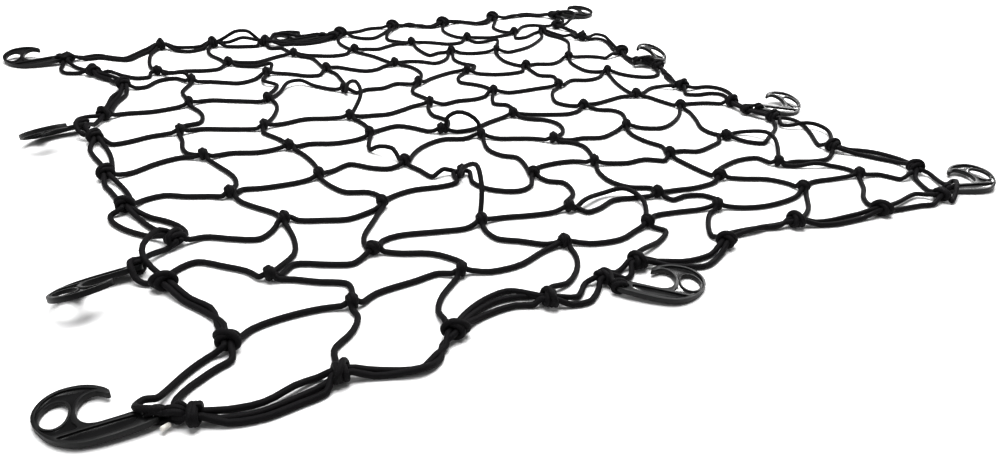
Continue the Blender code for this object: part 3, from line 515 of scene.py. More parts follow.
# %% Route point on the floor
CORD_RADIUS = 0.003


def on_floor(point, radius=CORD_RADIUS):
    """A route point (x cm, y cm, lift mm) as the centre of a cord there."""
    lift = point[2] * MM if len(point) > 2 else 0
    return Vector((point[0] * CM, point[1] * CM, radius + lift)) + SHIFT


print("the near corner lies at", [round(value, 3) for value in on_floor(NEAR_CORNER)])

# %% [markdown]
# ## From line to tube
# A tube is a ring of points at each step of the line, joined to the next ring. The ring is carried
# along by the smallest turn at each step, so the braid drawn on it never twists. The UV map counts
# turns round the cord and, in the same unit, lengths along it, which keeps the braid square.

# %% Rings along the line
SIDES = 10
BRAID_UV = "braid"


def ring_frames(line):
    """For each point of the line, two directions square to it that don't twist."""
    last = len(line) - 1
    tangents = [(line[min(k + 1, last)] - line[max(k - 1, 0)]).normalized() for k in range(last + 1)]
    side = tangents[0].orthogonal().normalized()
    frames = []
    for k, tangent in enumerate(tangents):
        if k:
            side = tangents[k - 1].rotation_difference(tangent) @ side
            side = (side - tangent * side.dot(tangent)).normalized()
        frames.append((side.copy(), tangent.cross(side)))
    return frames


def ring_corners(centre, side, across, radius):
    """The corners of one ring of the tube."""
    angles = [math.tau * turn / SIDES for turn in range(SIDES)]
    return [centre + (side * math.cos(angle) + across * math.sin(angle)) * radius for angle in angles]


print("a cord has", SIDES, "sides")

# %% Tube


def tube(bm, uv_layer, line, radius):
    """Add a closed round tube along the line to a bmesh; returns its length."""
    rings = []
    lengths = []
    run = 0
    for k, (centre, (side, across)) in enumerate(zip(line, ring_frames(line))):
        if k:
            run += (centre - line[k - 1]).length
        lengths.append(run / (math.tau * radius))
        rings.append([bm.verts.new(corner) for corner in ring_corners(centre, side, across, radius)])
    for k in range(len(rings) - 1):
        for turn in range(SIDES):
            after = (turn + 1) % SIDES
            face = bm.faces.new((rings[k][turn], rings[k][after], rings[k + 1][after], rings[k + 1][turn]))
            face.smooth = True
            corners = ((turn, k), (turn + 1, k), (turn + 1, k + 1), (turn, k + 1))
            for loop, (u, v) in zip(face.loops, corners):
                loop[uv_layer].uv = (u / SIDES, lengths[v])
    for end in (list(reversed(rings[0])), rings[-1]):
        bm.faces.new(end).smooth = False
    return run


def cord_piece(name, lines, radius, finish, stands_for):
    """One object holding a tube for each line."""
    for line in lines:
        for point in line:
            point.z = max(point.z, radius)
    bm = bmesh.new()
    uv_layer = bm.loops.layers.uv.new(BRAID_UV)
    length = sum(tube(bm, uv_layer, line, radius) for line in lines)
    mesh = bpy.data.meshes.new(name)
    bm.to_mesh(mesh)
    bm.free()
    mesh.materials.append(finish)
    piece = bpy.data.objects.new(name, mesh)
    bpy.context.scene.collection.objects.link(piece)
    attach(piece, "root")
    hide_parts(*stands_for)
    print(name, "holds", round(length, 2), "m of cord in", len(mesh.polygons), "faces")
    return piece


print("the UV map of each cord is called", BRAID_UV)

# %% [markdown]
# ## Tools for the finishes
# Every finish is built from a few nodes: noise that stays with the piece because it reads Object
# coordinates, a ramp between two colours, simple maths, and a bump. Small functions add them, so
# that each material below is short enough to read.

# %% Node helpers


def maths(tree, operation, *values):
    """A Math node; each value is a number or another node's output."""
    node = tree.nodes.new("ShaderNodeMath")
    node.operation = operation
    for socket, value in zip(node.inputs, values):
        if isinstance(value, (int, float)):
            socket.default_value = value
        else:
            tree.links.new(value, socket)
    return node.outputs[0]


def noise(tree, scale, detail):
    """Values that change over the piece, more quickly where the scale is larger."""
    place = tree.nodes.new("ShaderNodeTexCoord")
    node = tree.nodes.new("ShaderNodeTexNoise")
    node.inputs["Scale"].default_value = scale
    node.inputs["Detail"].default_value = detail
    tree.links.new(place.outputs["Object"], node.inputs["Vector"])
    return node.outputs["Fac"]


def tint(tree, share, dark, light):
    """Colours the Principled shader between dark and light."""
    node = tree.nodes.new("ShaderNodeValToRGB")
    node.color_ramp.elements[0].color = (*dark, 1)
    node.color_ramp.elements[1].color = (*light, 1)
    tree.links.new(share, node.inputs["Fac"])
    tree.links.new(node.outputs["Color"], tree.nodes["Principled BSDF"].inputs["Base Color"])


def relief(tree, height, strength, depth):
    """Bumps the Principled shader by a height."""
    node = tree.nodes.new("ShaderNodeBump")
    node.inputs["Strength"].default_value = strength
    node.inputs["Distance"].default_value = depth
    tree.links.new(height, node.inputs["Height"])
    tree.links.new(node.outputs[0], tree.nodes["Principled BSDF"].inputs["Normal"])


def new_finish(name, constants):
    """A material, with constants set on its Principled shader's own sockets."""
    finish = bpy.data.materials.new(name)
    finish.use_nodes = True
    for socket, value in constants.items():
        finish.node_tree.nodes["Principled BSDF"].inputs[socket].default_value = value
    return finish


print("node helpers: maths, noise, tint, relief")

# %% [markdown]
# ## The braided sheath
# Elastic cord has a sheath of fine black yarn braided over rubber. Two families of yarn spiral in
# opposite directions and pass over and under each other. The node group draws both families from
# the UV map, picks the one on top with a chequer, and gives back a height, a colour and a
# roughness. The colour is painted shade in the gaps between the yarns and a painted highlight on
# their ridges, with lighter worn stretches along the cord. It is a group because the netting, the
# rim and the ties all wear it with their own values. It puts out colours and values only: the
# Principled shader stays in each material.

# %% Braid node group
YARNS = 12              # yarns of each family, counted round the cord
BRAID_SLOPE = 0.8       # yarns crossed along the cord for each one crossed round it
FUZZ = (900, 3)         # scale and detail of the noise for the fine hairs of the yarn
WEAR = (22, 4)          # the same for the slow changes of shade along the cord
WEAVE_HEIGHT = 0.8
FUZZ_HEIGHT = 0.35
# The yarn's ridges are painted lighter as a highlight and its gaps stay dark as painted shade; this sets
# how much of the light colour a ridge gets.
RIDGE_PAINTED_HIGHLIGHT = 0.55      # how much of the light colour a yarn's ridge has
WEAR_SHADE = 0.5        # how much of it wear adds
ROUGHEST = 0.2          # what wear adds to the least roughness
LEAST_ROUGH = 0.5


def new_braid():
    group = bpy.data.node_groups.new("Braided sheath", "ShaderNodeTree")
    for name, way, kind in (("Braid UV", "INPUT", "Vector"), ("Dark", "INPUT", "Color"),
                            ("Light", "INPUT", "Color"), ("Height", "OUTPUT", "Float"),
                            ("Colour", "OUTPUT", "Color"), ("Roughness", "OUTPUT", "Float")):
        group.interface.new_socket(name, in_out=way, socket_type=f"NodeSocket{kind}")
    inlet = group.nodes.new("NodeGroupInput")
    outlet = group.nodes.new("NodeGroupOutput")
    split = group.nodes.new("ShaderNodeSeparateXYZ")
    group.links.new(inlet.outputs["Braid UV"], split.inputs[0])
    round_it = maths(group, "MULTIPLY", split.outputs[0], YARNS)
    along_it = maths(group, "MULTIPLY", split.outputs[1], YARNS * BRAID_SLOPE)
    families = [maths(group, how, round_it, along_it) for how in ("ADD", "SUBTRACT")]
    waves = [maths(group, "SINE", maths(group, "MULTIPLY", family, math.pi)) for family in families]
    ridges = [maths(group, "ABSOLUTE", wave) for wave in waves]
    cell = maths(group, "ADD", *(maths(group, "FLOOR", family) for family in families))
    on_top = maths(group, "PINGPONG", cell, 1)
    over = maths(group, "MULTIPLY", ridges[0], on_top)
    under = maths(group, "MULTIPLY", ridges[1], maths(group, "SUBTRACT", 1, on_top))
    weave = maths(group, "ADD", over, under)
    fuzz = maths(group, "MULTIPLY", noise(group, *FUZZ), FUZZ_HEIGHT)
    wear = noise(group, *WEAR)
    height = maths(group, "ADD", maths(group, "MULTIPLY", weave, WEAVE_HEIGHT), fuzz)
    worn = maths(group, "MULTIPLY", wear, WEAR_SHADE)
    # Painted shade in the gaps between yarns and a painted highlight on their ridges, plus lighter worn
    # stretches along the cord.
    painted_light_and_wear = maths(group, "MULTIPLY_ADD", weave, RIDGE_PAINTED_HIGHLIGHT, worn)
    rough = maths(group, "MULTIPLY_ADD", wear, ROUGHEST, LEAST_ROUGH)
    mix = group.nodes.new("ShaderNodeMix")
    mix.data_type = "RGBA"
    group.links.new(painted_light_and_wear, mix.inputs["Factor"])
    group.links.new(inlet.outputs["Dark"], mix.inputs[6])
    group.links.new(inlet.outputs["Light"], mix.inputs[7])
    group.links.new(height, outlet.inputs["Height"])
    group.links.new(mix.outputs[2], outlet.inputs["Colour"])
    group.links.new(rough, outlet.inputs["Roughness"])
    return group


braid = new_braid()
print("braid group has", len(braid.nodes), "nodes")

# %% [markdown]
# The sheath's constants are the same all over, so they sit on the shader itself: a little sheen
# for the fuzz of the yarn and a low specular, because yarn scatters light instead of mirroring it.

# %% Cord materials
SHEATH_SHINE = {"Sheen Weight": 0.015, "Sheen Roughness": 0.4, "Specular IOR Level": 0.12}
BRAID_STRENGTH = 0.5
BRAID_DEPTH = 0.0004


def cord_finish(name, dark, light):
    """A sheath whose braid runs from the dark colour, painted shade in its gaps, to the light one, a
    painted highlight on its ridges.
    """
    finish = new_finish(name, SHEATH_SHINE)
    tree = finish.node_tree
    uv_map = tree.nodes.new("ShaderNodeUVMap")
    uv_map.uv_map = BRAID_UV
    sheath = tree.nodes.new("ShaderNodeGroup")
    sheath.node_tree = braid
    sheath.inputs["Dark"].default_value = (*dark, 1)
    sheath.inputs["Light"].default_value = (*light, 1)
    shader = tree.nodes["Principled BSDF"]
    tree.links.new(uv_map.outputs[0], sheath.inputs["Braid UV"])
    tree.links.new(sheath.outputs["Colour"], shader.inputs["Base Color"])
    tree.links.new(sheath.outputs["Roughness"], shader.inputs["Roughness"])
    relief(tree, sheath.outputs["Height"], BRAID_STRENGTH, BRAID_DEPTH)
    return finish


# Each cord's dark colour is the painted shade in the braid's gaps; its light colour is the painted
# highlight on the ridges and the tone of worn stretches.
netting_finish = cord_finish("netting_sheath", (0.0016, 0.0014, 0.0017), (0.0138, 0.0127, 0.0143))
rim_finish = cord_finish("rim_sheath", (0.0016, 0.0014, 0.0017), (0.0132, 0.0121, 0.0138))
tie_finish = cord_finish("tie_sheath", (0.0018, 0.0016, 0.0019), (0.0142, 0.0131, 0.0148))
print("cord finishes:", netting_finish.name, rim_finish.name, tie_finish.name)

# %% [markdown]
# ## The knots of the netting
# Each lengthwise cord is tied round each cross cord. In the real net it winds over the cross cord
# twice and jams the last turn on top, which makes a compact ball some three cords wide. The knot
# is drawn once in its own directions: x along the cross cord, y along the long cord and z up. Each
# place turns, mirrors and scales it a little, because no two knots made by hand are equal.

# %% Place of a knot
KNOT_HEIGHT = 0.0074   # where the cross cord passes through the knot
KNOT_SIZE = (0.95, 1.09)
KNOT_LEAN = (-0.3, 0.3)
UP = Vector((0, 0, 1))
drawn = random.Random(41)


def level(vector):
    """The vector's direction on the floor."""
    return Vector((vector.x, vector.y, 0)).normalized()


def knot_place(knot, across, along, arrive):
    """A function that maps a point of the drawn knot, in mm, to its place, and the knot's hand."""
    centre = Vector((knot[0] * CM, knot[1] * CM, KNOT_HEIGHT)) + SHIFT
    u = across
    v = Vector((-u.y, u.x, 0))
    if v.dot(along) < 0:
        v = -v
    side = -1 if (arrive - centre).dot(u) > 0 else 1
    size = drawn.uniform(*KNOT_SIZE)
    lean = drawn.uniform(*KNOT_LEAN)

    def place(x, y, z):
        return centre + (u * (x * side * size) + v * ((y + x * side * lean) * size) + UP * z) * MM
    return place, side


knot_places = {}
for course, row in KNOTS.items():
    for file, knot in enumerate(row, 1):
        before, after = ACROSS[course][file - 1:file + 1]
        arrive = on_floor(ALONG[file][course - 1][-1])
        across = level(on_floor(after[0]) - on_floor(before[-1]))
        along = level(on_floor(ALONG[file][course][0]) - arrive)
        knot_places[course, file] = knot_place(knot, across, along, arrive)
print("knots in the netting:", len(knot_places))

# %% The two cords of a knot
TURN_STEP = 30        # degrees of winding between two points
PASSING = ((-9.5, -3), (-5, -0.8), (0, 0), (5, -0.8), (9.5, -3))  # mm along the cross cord, mm up
KNOT_WINDING = (      # degrees of winding, mm along the cross cord, mm from its middle
    (10, -3.2, 4.7), (90, -3, 4.7), (270, -0.6, 4.6), (450, 3.1, 4.8), (630, 1.6, 4.6),
    (720, 0.6, 5.6), (810, 0, 6.6), (880, 0.4, 6))
KNOT_FRONT = (-3.2, -4.6, -3.6)
KNOT_BACK = (0.5, 4.8, -3.6)
KNOT_LOW = 0.94       # the winding is a little flatter than it is wide
LEAD = 4.4            # mm from the knot to where its cord points at the next one


def between(table, angle):
    """The values of a table's columns at an angle."""
    for low, high in zip(table, table[1:]):
        if low[0] <= angle <= high[0]:
            part = (angle - low[0]) / (high[0] - low[0])
            return [a + (b - a) * part for a, b in zip(low[1:], high[1:])]
    return table[-1][1:]


def passing_points(place, side):
    """The cross cord's way through the knot."""
    return [place(x * side, 0, z) for x, z in PASSING]


def winding_points(place, arrive, leave):
    """The long cord's way round the cross cord, from the front of the knot to its back."""
    front = place(*KNOT_FRONT)
    back = place(*KNOT_BACK)
    points = [front + level(arrive - front) * (LEAD * MM)]
    for angle in range(KNOT_WINDING[0][0], KNOT_WINDING[-1][0] + 1, TURN_STEP):
        x, radius = between(KNOT_WINDING, angle)
        turn = math.radians(angle)
        points.append(place(x, -radius * math.cos(turn), KNOT_LOW * radius * math.sin(turn)))
    return points + [back + level(leave - back) * (LEAD * MM)]


first_place = knot_places[1, 1][0]
print("points in one knot:", len(winding_points(first_place, Vector(), Vector())))

# %% [markdown]
# ## The rim's two cords
# The pair is built before the netting's ends, because each end is wound round the pair and needs
# to know which way it runs there. At each stop the pair runs straight for a little way, pressed
# together, and lifted by one cord's thickness so that the winding passes below it. Over a shank
# it lies higher still. Between the stops the two cords follow their own points, or lie side by
# side along one line and roll over each other a little as they go.

# %% Once round the net


def from_front(rim):
    """The spans of a rim that is tabled the other way, turned to run the way of the ring."""
    return [tuple(tuple(reversed(strand)) for strand in span) for span in reversed(rim)]


ring_stops = [*FRONT_STOPS, *RIGHT_STOPS[1:], *reversed(BACK_STOPS[:-1]), *reversed(LEFT_STOPS[:-1])]
ring_spans = [*FRONT_RIM, *RIGHT_RIM, *from_front(BACK_RIM), *from_front(LEFT_RIM)]
print("the ring has", len(ring_stops), "stops and", len(ring_spans), "spans")

# %% Where the pair lies at each stop
STOP_HEIGHT = 0.0086
HIGH_STOPS = {TIE_SPOTS["right_back"]: 0.0150}  # where the pair passes over a shank
STOP_REACH = 0.0080    # how far the pair runs straight either side of a stop
CLOSE_SHARE = 0.3      # of the way to the next stop, where that is less
laid = []              # for each stop: its middle, way of the rim, way inwards, straight reach
stops = {}             # the first three again, found by the stop's place in the tables


def next_places(k, step):
    """Where the strands come from before a stop, or go to after it."""
    span = k if step > 0 else k - 1
    strands = ring_spans[span] if 0 <= span < len(ring_spans) else ()
    points = [strand[0 if step > 0 else -1] for strand in strands if strand]
    beyond = k + step if 0 <= k + step < len(ring_stops) else k
    return [on_floor(point) for point in points or [ring_stops[beyond]]]


def middle_of(places):
    return sum(places, Vector()) / len(places)


for k, stop in enumerate(ring_stops):
    way = level(middle_of(next_places(k, 1)) - middle_of(next_places(k, -1)))
    inward = Vector((-way.y, way.x, 0))
    middle = Vector((stop[0] * CM, stop[1] * CM, HIGH_STOPS.get(stop, STOP_HEIGHT))) + SHIFT
    beside = ring_stops[max(k - 1, 0):k] + ring_stops[k + 1:k + 2]
    reach = min([STOP_REACH] + [math.dist(stop, other) * CM * CLOSE_SHARE for other in beside])
    laid.append((middle, way, inward, reach))
    stops[stop] = (middle, way, inward)
print("places on the rim:", len(stops))

# %% The two strands
PAIR_HALF = 0.0029               # from the middle of the pair to the middle of a cord
PAIR_ROLL = math.radians(35)     # how far the pair rolls over, at most
ROLL_STEPS = (2.1, 1.3)          # from point to point and from span to span, so it looks irregular


def side_by_side(points, start, k, side):
    """One of two cords that lie together along a line. At its last point they have swapped
    sides, which gives each such span a twist."""
    strand = []
    for j, point in enumerate(points):
        ahead = points[(j + 1) % len(points)]
        heading = level(ahead - (points[j - 1] if j else start))
        roll = PAIR_ROLL * math.sin(ROLL_STEPS[0] * j + ROLL_STEPS[1] * k)
        offset = Vector((-heading.y, heading.x, 0)) * math.cos(roll) + UP * math.sin(roll)
        point.z += PAIR_HALF * abs(math.sin(roll))
        strand.append(point + offset * (side * PAIR_HALF))
    return strand


def rim_strand(side):
    """One cord once round the net; side is -1 for the outer cord and 1 for the inner."""
    points = []
    for k, (middle, way, inward, reach) in enumerate(laid):
        for step in (-1, 0, 1):
            if 0 <= k + step < len(laid):
                points.append(middle + way * (reach * step) + inward * (side * PAIR_HALF))
        span = ring_spans[k] if k < len(ring_spans) else ((),)
        if len(span) == 2:
            points += [on_floor(point) for point in span[max(side, 0)]]
        else:
            points += side_by_side([on_floor(point) for point in span[0]], middle, k, side)
    return smooth_line(points)


pair = [rim_strand(side) for side in (-1, 1)]
print("rim strands of", [round(line_length(line), 2) for line in pair], "m")

# %% [markdown]
# ## The netting
# All sixteen cords of the netting are one piece. Each runs from a winding on one rim to a winding
# on the other. The winding goes twice round the pair, each turn beside the last, and a last part
# turn goes back over the first two before its end is tucked under.

# %% Winding on the rim
WIND_WIDE = 8.1    # mm from the middle of the pair to the middle of the winding cord, sideways
WIND_HIGH = 5.5    # the same, upwards
RIM_WINDING = (    # degrees of winding, mm along the rim, share of the two distances above
    (-15, -5.4, 1), (90, -4, 1), (180, -2.7, 1), (270, -1.3, 1), (360, 0, 1), (450, 1.4, 1),
    (540, 2.7, 1), (630, 4, 1), (720, 5.4, 1.02), (770, 3.6, 1.3), (810, 0.4, 1.68),
    (850, -3, 1.42), (900, -5.8, 1.08), (960, -5.6, 0.96))
WIND_SIZE = (0.95, 1.06)
WIND_LEAN = (-1.6, 1.6)
WIND_BULGE = (0.9, 1.08)
ENTRY = (5, 4)               # mm from the winding towards the netting, and below the pair's middle
TUCKED = (-3, -1, -1.5)      # mm along the rim, inwards and up


def winding_on_rim(stop, arrive):
    """The end of a netting cord, from the netting to where it is tucked under the pair."""
    middle, way, inward = stops[stop]
    hand = -1 if (arrive - middle).dot(way) > 0 else 1
    size = drawn.uniform(*WIND_SIZE)
    lean = drawn.uniform(*WIND_LEAN)
    bulge = drawn.uniform(*WIND_BULGE)

    def place(x, y, z):
        return middle + (way * (x * hand * size) + inward * y + UP * z) * MM
    points = []
    for angle in range(RIM_WINDING[0][0], RIM_WINDING[-1][0] + 1, TURN_STEP):
        turn = math.radians(angle)
        x, share = between(RIM_WINDING, angle)
        x += lean * math.cos(turn)
        points.append(place(x, WIND_WIDE * size * share * math.cos(turn),
                            WIND_HIGH * (1 + (share - 1) * bulge) * math.sin(turn)))
    entry = points[0] + level(arrive - points[0]) * (ENTRY[0] * MM)
    entry.z = middle.z - ENTRY[1] * MM
    return [entry] + points + [place(*TUCKED)]


print("winding of", RIM_WINDING[-1][0] - RIM_WINDING[0][0], "degrees on the rim")

# %% Netting piece


def netting_line(knots, spans, passes):
    """One cord of the netting, through its knots and its spans."""
    points = list(reversed(winding_on_rim(knots[0], on_floor(spans[0][0]))))
    for span, through in zip(spans, passes + [[]]):
        points += [on_floor(point) for point in span] + through
    return smooth_line(points + winding_on_rim(knots[-1], on_floor(spans[-1][-1])))


netting_lines = []
for course, spans in ACROSS.items():
    ends = (LEFT_KNOTS[course - 1], RIGHT_KNOTS[course - 1])
    passes = [passing_points(*knot_places[course, file]) for file in ALONG]
    netting_lines.append(netting_line(ends, spans, passes))
for file, spans in ALONG.items():
    ends = (FRONT_KNOTS[file - 1], BACK_KNOTS[file - 1])
    passes = [winding_points(knot_places[course, file][0], on_floor(spans[course - 1][-1]),
                             on_floor(spans[course][0])) for course in ACROSS]
    netting_lines.append(netting_line(ends, spans, passes))
netting = cord_piece(
    "netting", netting_lines, CORD_RADIUS, netting_finish,
    [f"cross_cord_{course}" for course in ACROSS] + [f"long_cord_{file}" for file in ALONG])
print("longest netting cord:", round(max(line_length(line) for line in netting_lines), 2), "m")

# %% [markdown]
# ## The rim piece
# The two strands, two short wraps round them and seven loose third strands are one piece, which
# stands for the four edge solids.

# %% Rim piece
WRAP_WIDE = 9          # mm from the middle of the pair to the middle of the wrap, sideways
WRAP_HIGH = 5.6        # the same, upwards
WRAP_ANGLES = (-60, 820)
WRAP_START = -3.4      # mm along the rim
WRAP_RUN = 6.4 / 800   # mm along the rim for each degree of winding


def wrap_line(stop):
    """A short cord wound round the pair, each turn beside the last."""
    middle, way, inward = stops[stop]
    points = []
    for angle in range(WRAP_ANGLES[0], WRAP_ANGLES[1] + 1, TURN_STEP):
        turn = math.radians(angle)
        x = WRAP_START + WRAP_RUN * angle
        points.append(middle + (way * x + inward * (WRAP_WIDE * math.cos(turn))
                                + UP * (WRAP_HIGH * math.sin(turn))) * MM)
    return smooth_line(points)


def loose_line(strand):
    points = [on_floor(point) for point in strand]
    points[0].z = points[-1].z = STOP_HEIGHT
    return smooth_line(points)


rim_lines = pair + [wrap_line(stop) for stop in (SPARE_WRAP, FRONT_RIGHT)]
rim_lines += [loose_line(strand) for strand in LOOSE_STRANDS]
rim = cord_piece("doubled_rim", rim_lines, CORD_RADIUS, rim_finish,
                 ["front_edge", "back_edge", "left_edge", "right_edge"])
print("cords in the rim piece:", len(rim_lines))

# %% [markdown]
# ## One hook
# The hook is moulded in hard black plastic: a flat plate with a claw, an oval ring hole, a round
# eye for the cord, and shallow recesses in both faces that leave a thin web between stiff rims.
# It could be swept along a curve, but its walls stand square, so it is cut out as a plate. Its
# outlines are in mm from the middle of the eye, with the shank along x.

# %% Outline of the plate
HOOK_OUTLINE = ((-8, 0), (-6.8, -5), (0, -9.4), (13, -13.6), (27, -17.4), (40, -19.3), (50, -18.8),
                (59.5, -15.2), (68.5, -9), (77, 0.5), (83.5, 11), (86.2, 22), (84.8, 32.5), (80.2, 41),
                (73, 46.8), (63.5, 49.4), (53.5, 49.2), (45.5, 46.6), (38.5, 42.6), (33.6, 37.8),
                (32.6, 34), (35.2, 33.6), (39.5, 36.6), (45, 38.4), (50.5, 36), (54.3, 29.5), (54.8, 20),
                (52.2, 10.5), (46.2, 3.2), (38, 0.8), (28, 2.6), (18, 5), (8, 7.4), (0, 8.2), (-6, 6))
OUTLINE_CUTS = 4       # points made between two corners


def rounded(outline, cuts):
    """A closed Catmull-Rom curve through the outline's corners, in metres."""
    ring = [Vector((x, y, 0)) * MM for x, y in outline]
    smooth = []
    for k in range(len(ring)):
        before, start, stop, after = (ring[(k + j) % len(ring)] for j in (-1, 0, 1, 2))
        for cut in range(cuts):
            t = cut / cuts
            smooth.append(0.5 * (2 * start + (stop - before) * t
                                 + (2 * before - 5 * start + 4 * stop - after) * t * t
                                 + (3 * start - before - 3 * stop + after) * t * t * t))
    return smooth


print("hook outline with", len(rounded(HOOK_OUTLINE, OUTLINE_CUTS)), "points")

# %% Ring, recesses and eye
RING_HOLE = ((59.6, 15), (61.2, 7.4), (66, 2.6), (72.2, 3.2), (77.4, 8), (80.2, 15.6), (79.8, 24),
             (76.2, 30.8), (70.4, 33.6), (64.4, 30.6), (60.6, 23.4))
RING_RIM = ((57.8, 15), (59.6, 6.4), (65.2, 0.8), (73, 1.6), (79, 7), (82, 15.4), (81.6, 24.6),
            (77.4, 32.2), (70.4, 35.4), (63.2, 32), (58.8, 24))
SHANK_RECESS = ((9, 2), (9, -5.4), (16, -9.6), (28, -13.6), (40, -15.8), (50, -15.4), (58, -12.4),
                (62.5, -9.6), (56, -7.6), (46, -5), (34, -2.4), (22, 0.2))
CLAW_RECESS = ((66.4, -6.2), (75, 0.8), (80.6, 10.4), (83.2, 21.6), (81.9, 32), (78, 39.4),
               (71.8, 44.2), (63.2, 46.3), (54, 45.9), (46.4, 43.4), (42.4, 41.2), (46, 41.2),
               (51.6, 38.8), (56.2, 31.8), (57.4, 24), (57.2, 14.4), (55, 6.4), (50.4, 0.2),
               (51, -3.2), (58.4, -4.8))
EYE_RADIUS = 4.8
EYE_CORNERS = 24
EYE_TURNS = [math.tau * k / EYE_CORNERS for k in range(EYE_CORNERS)]
EYE = [(EYE_RADIUS * math.cos(turn), EYE_RADIUS * math.sin(turn)) for turn in EYE_TURNS]
print("the ring hole spans", max(x for x, y in RING_HOLE) - min(x for x, y in RING_HOLE), "mm")

# %% [markdown]
# A plate is a filled circle with one vertex for each point of the outline. The vertices are moved
# out to it, and the face is then extruded in edit mode. Recesses, ring hole and eye are plates
# too, taken away by Boolean modifiers, and the ring's rim is joined on before its hole is cut.

# %% Plate and cut
PLATE_HALF = 0.0026    # from the middle of the hook's thickness to its face
WEB_HALF = 0.0010
RING_RIM_HALF = 0.0019
BEYOND = 0.02          # how far a cutter reaches past the plate
CIRCLE_RADIUS = 0.01   # any size will do, because every vertex is moved


def plate(name, outline, low, high, cuts=OUTLINE_CUTS):
    ring = rounded(outline, cuts)
    bpy.ops.object.select_all(action="DESELECT")
    bpy.ops.mesh.primitive_circle_add(vertices=len(ring), radius=CIRCLE_RADIUS, fill_type="NGON")
    made = bpy.context.object
    made.name = name
    for vertex, corner in zip(made.data.vertices, ring):
        vertex.co = (corner.x, corner.y, low)
    bpy.ops.object.mode_set(mode="EDIT")
    bpy.ops.mesh.select_all(action="SELECT")
    bpy.ops.mesh.extrude_region_move(TRANSFORM_OT_translate={"value": (0, 0, high - low)})
    bpy.ops.mesh.select_all(action="SELECT")
    bpy.ops.mesh.normals_make_consistent(inside=False)
    bpy.ops.object.mode_set(mode="OBJECT")
    return made


def cut(target, tool, how="DIFFERENCE"):
    """Take a tool away from a piece, or join it on, and remove the tool."""
    change = target.modifiers.new(how.lower(), "BOOLEAN")
    change.operation = how
    change.object = tool
    change.solver = "EXACT"
    bpy.context.view_layer.objects.active = target
    bpy.ops.object.modifier_apply(modifier=change.name)
    bpy.data.objects.remove(tool, do_unlink=True)


hook_model = plate("hook_model", HOOK_OUTLINE, -PLATE_HALF, PLATE_HALF)
for outline in (SHANK_RECESS, CLAW_RECESS):
    for low, high in ((WEB_HALF, BEYOND), (-BEYOND, -WEB_HALF)):
        cut(hook_model, plate("recess_cutter", outline, low, high))
cut(hook_model, plate("ring_rim", RING_RIM, -RING_RIM_HALF, RING_RIM_HALF), "UNION")
cut(hook_model, plate("ring_cutter", RING_HOLE, -BEYOND, BEYOND))
cut(hook_model, plate("eye_cutter", EYE, -BEYOND, BEYOND, cuts=1))
print("plate cut out with", len(hook_model.data.polygons), "faces")

# %% [markdown]
# Moulded edges are never sharp. A bevel of two steps rounds every edge that turns by more than
# 50 degrees, and the long curved walls are shaded smooth. The faces of the web are marked in an
# attribute, because the mould polishes them more than the rims.

# %% Soften the edges and mark the web
EDGE_SOFTNESS = 0.0004
EDGE_STEPS = 2         # faces across a softened edge
SHARP_FROM = 50        # degrees between two faces from which an edge is bevelled
SMOOTH_TO = 32         # degrees up to which two faces are shaded as one
FLAT = 0.9             # how level a face of the web is
WEB_PLAY = 0.0001

bevel = hook_model.modifiers.new("softened edges", "BEVEL")
bevel.width = EDGE_SOFTNESS
bevel.segments = EDGE_STEPS
bevel.limit_method = "ANGLE"
bevel.angle_limit = math.radians(SHARP_FROM)
bevel.use_clamp_overlap = True
bpy.context.view_layer.objects.active = hook_model
bpy.ops.object.modifier_apply(modifier=bevel.name)
bpy.ops.object.select_all(action="DESELECT")
hook_model.select_set(True)
bpy.ops.object.shade_smooth_by_angle(angle=math.radians(SMOOTH_TO))
web = hook_model.data.attributes.new("web", "FLOAT", "FACE")
for face in hook_model.data.polygons:
    flat = abs(face.normal.z) > FLAT and abs(face.center.z) < WEB_HALF + WEB_PLAY
    web.data[face.index].value = 1.0 if flat else 0.0
print("hook model:", len(hook_model.data.polygons), "faces,",
      sum(len(face.vertices) - 2 for face in hook_model.data.polygons), "triangles")

# %% [markdown]
# ## The hooks' plastic
# Injection-moulded nylon: black, half glossy, with a very fine grain left by the mould and dull
# patches where it has been handled. The roughness varies slowly over the surface, and the webs
# are glossier than the rest.

# %% Hook material
GRAIN = (1400, 2)        # scale and detail of the noise for the mould's grain
PATCHES = (55, 5)        # the same for the patches that handling leaves
GLOSS = {"From Min": 0.3, "From Max": 0.7, "To Min": 0.38, "To Max": 0.5}
WEB_POLISH = -0.26       # what the web's polish adds to the roughness
GRAIN_RELIEF = (0.12, 0.0002)
PLASTIC_DARK = (0.002, 0.002, 0.0023)
PLASTIC_LIGHT = (0.006, 0.006, 0.0065)

hook_finish = new_finish("moulded_black_plastic", {"Specular IOR Level": 0.36})
tree = hook_finish.node_tree
patches = noise(tree, *PATCHES)
gloss = tree.nodes.new("ShaderNodeMapRange")
for socket, value in GLOSS.items():
    gloss.inputs[socket].default_value = value
tree.links.new(patches, gloss.inputs["Value"])
webs = tree.nodes.new("ShaderNodeAttribute")
webs.attribute_name = "web"
roughness = maths(tree, "MULTIPLY_ADD", webs.outputs["Fac"], WEB_POLISH, gloss.outputs["Result"])
tree.links.new(roughness, tree.nodes["Principled BSDF"].inputs["Roughness"])
tint(tree, patches, PLASTIC_DARK, PLASTIC_LIGHT)
relief(tree, noise(tree, *GRAIN), *GRAIN_RELIEF)
hook_model.data.materials.clear()
hook_model.data.materials.append(hook_finish)
print("hook finish has", len(tree.nodes), "nodes")

# %% [markdown]
# ## Ten hooks
# The one model is copied ten times. Each copy is flipped where its claw lies on the other side,
# rolled, dipped and turned as its row says, and laid down with its lowest point on the floor.

# %% Laying a hook


def turned(degrees, axis):
    return Matrix.Rotation(math.radians(degrees), 4, axis)


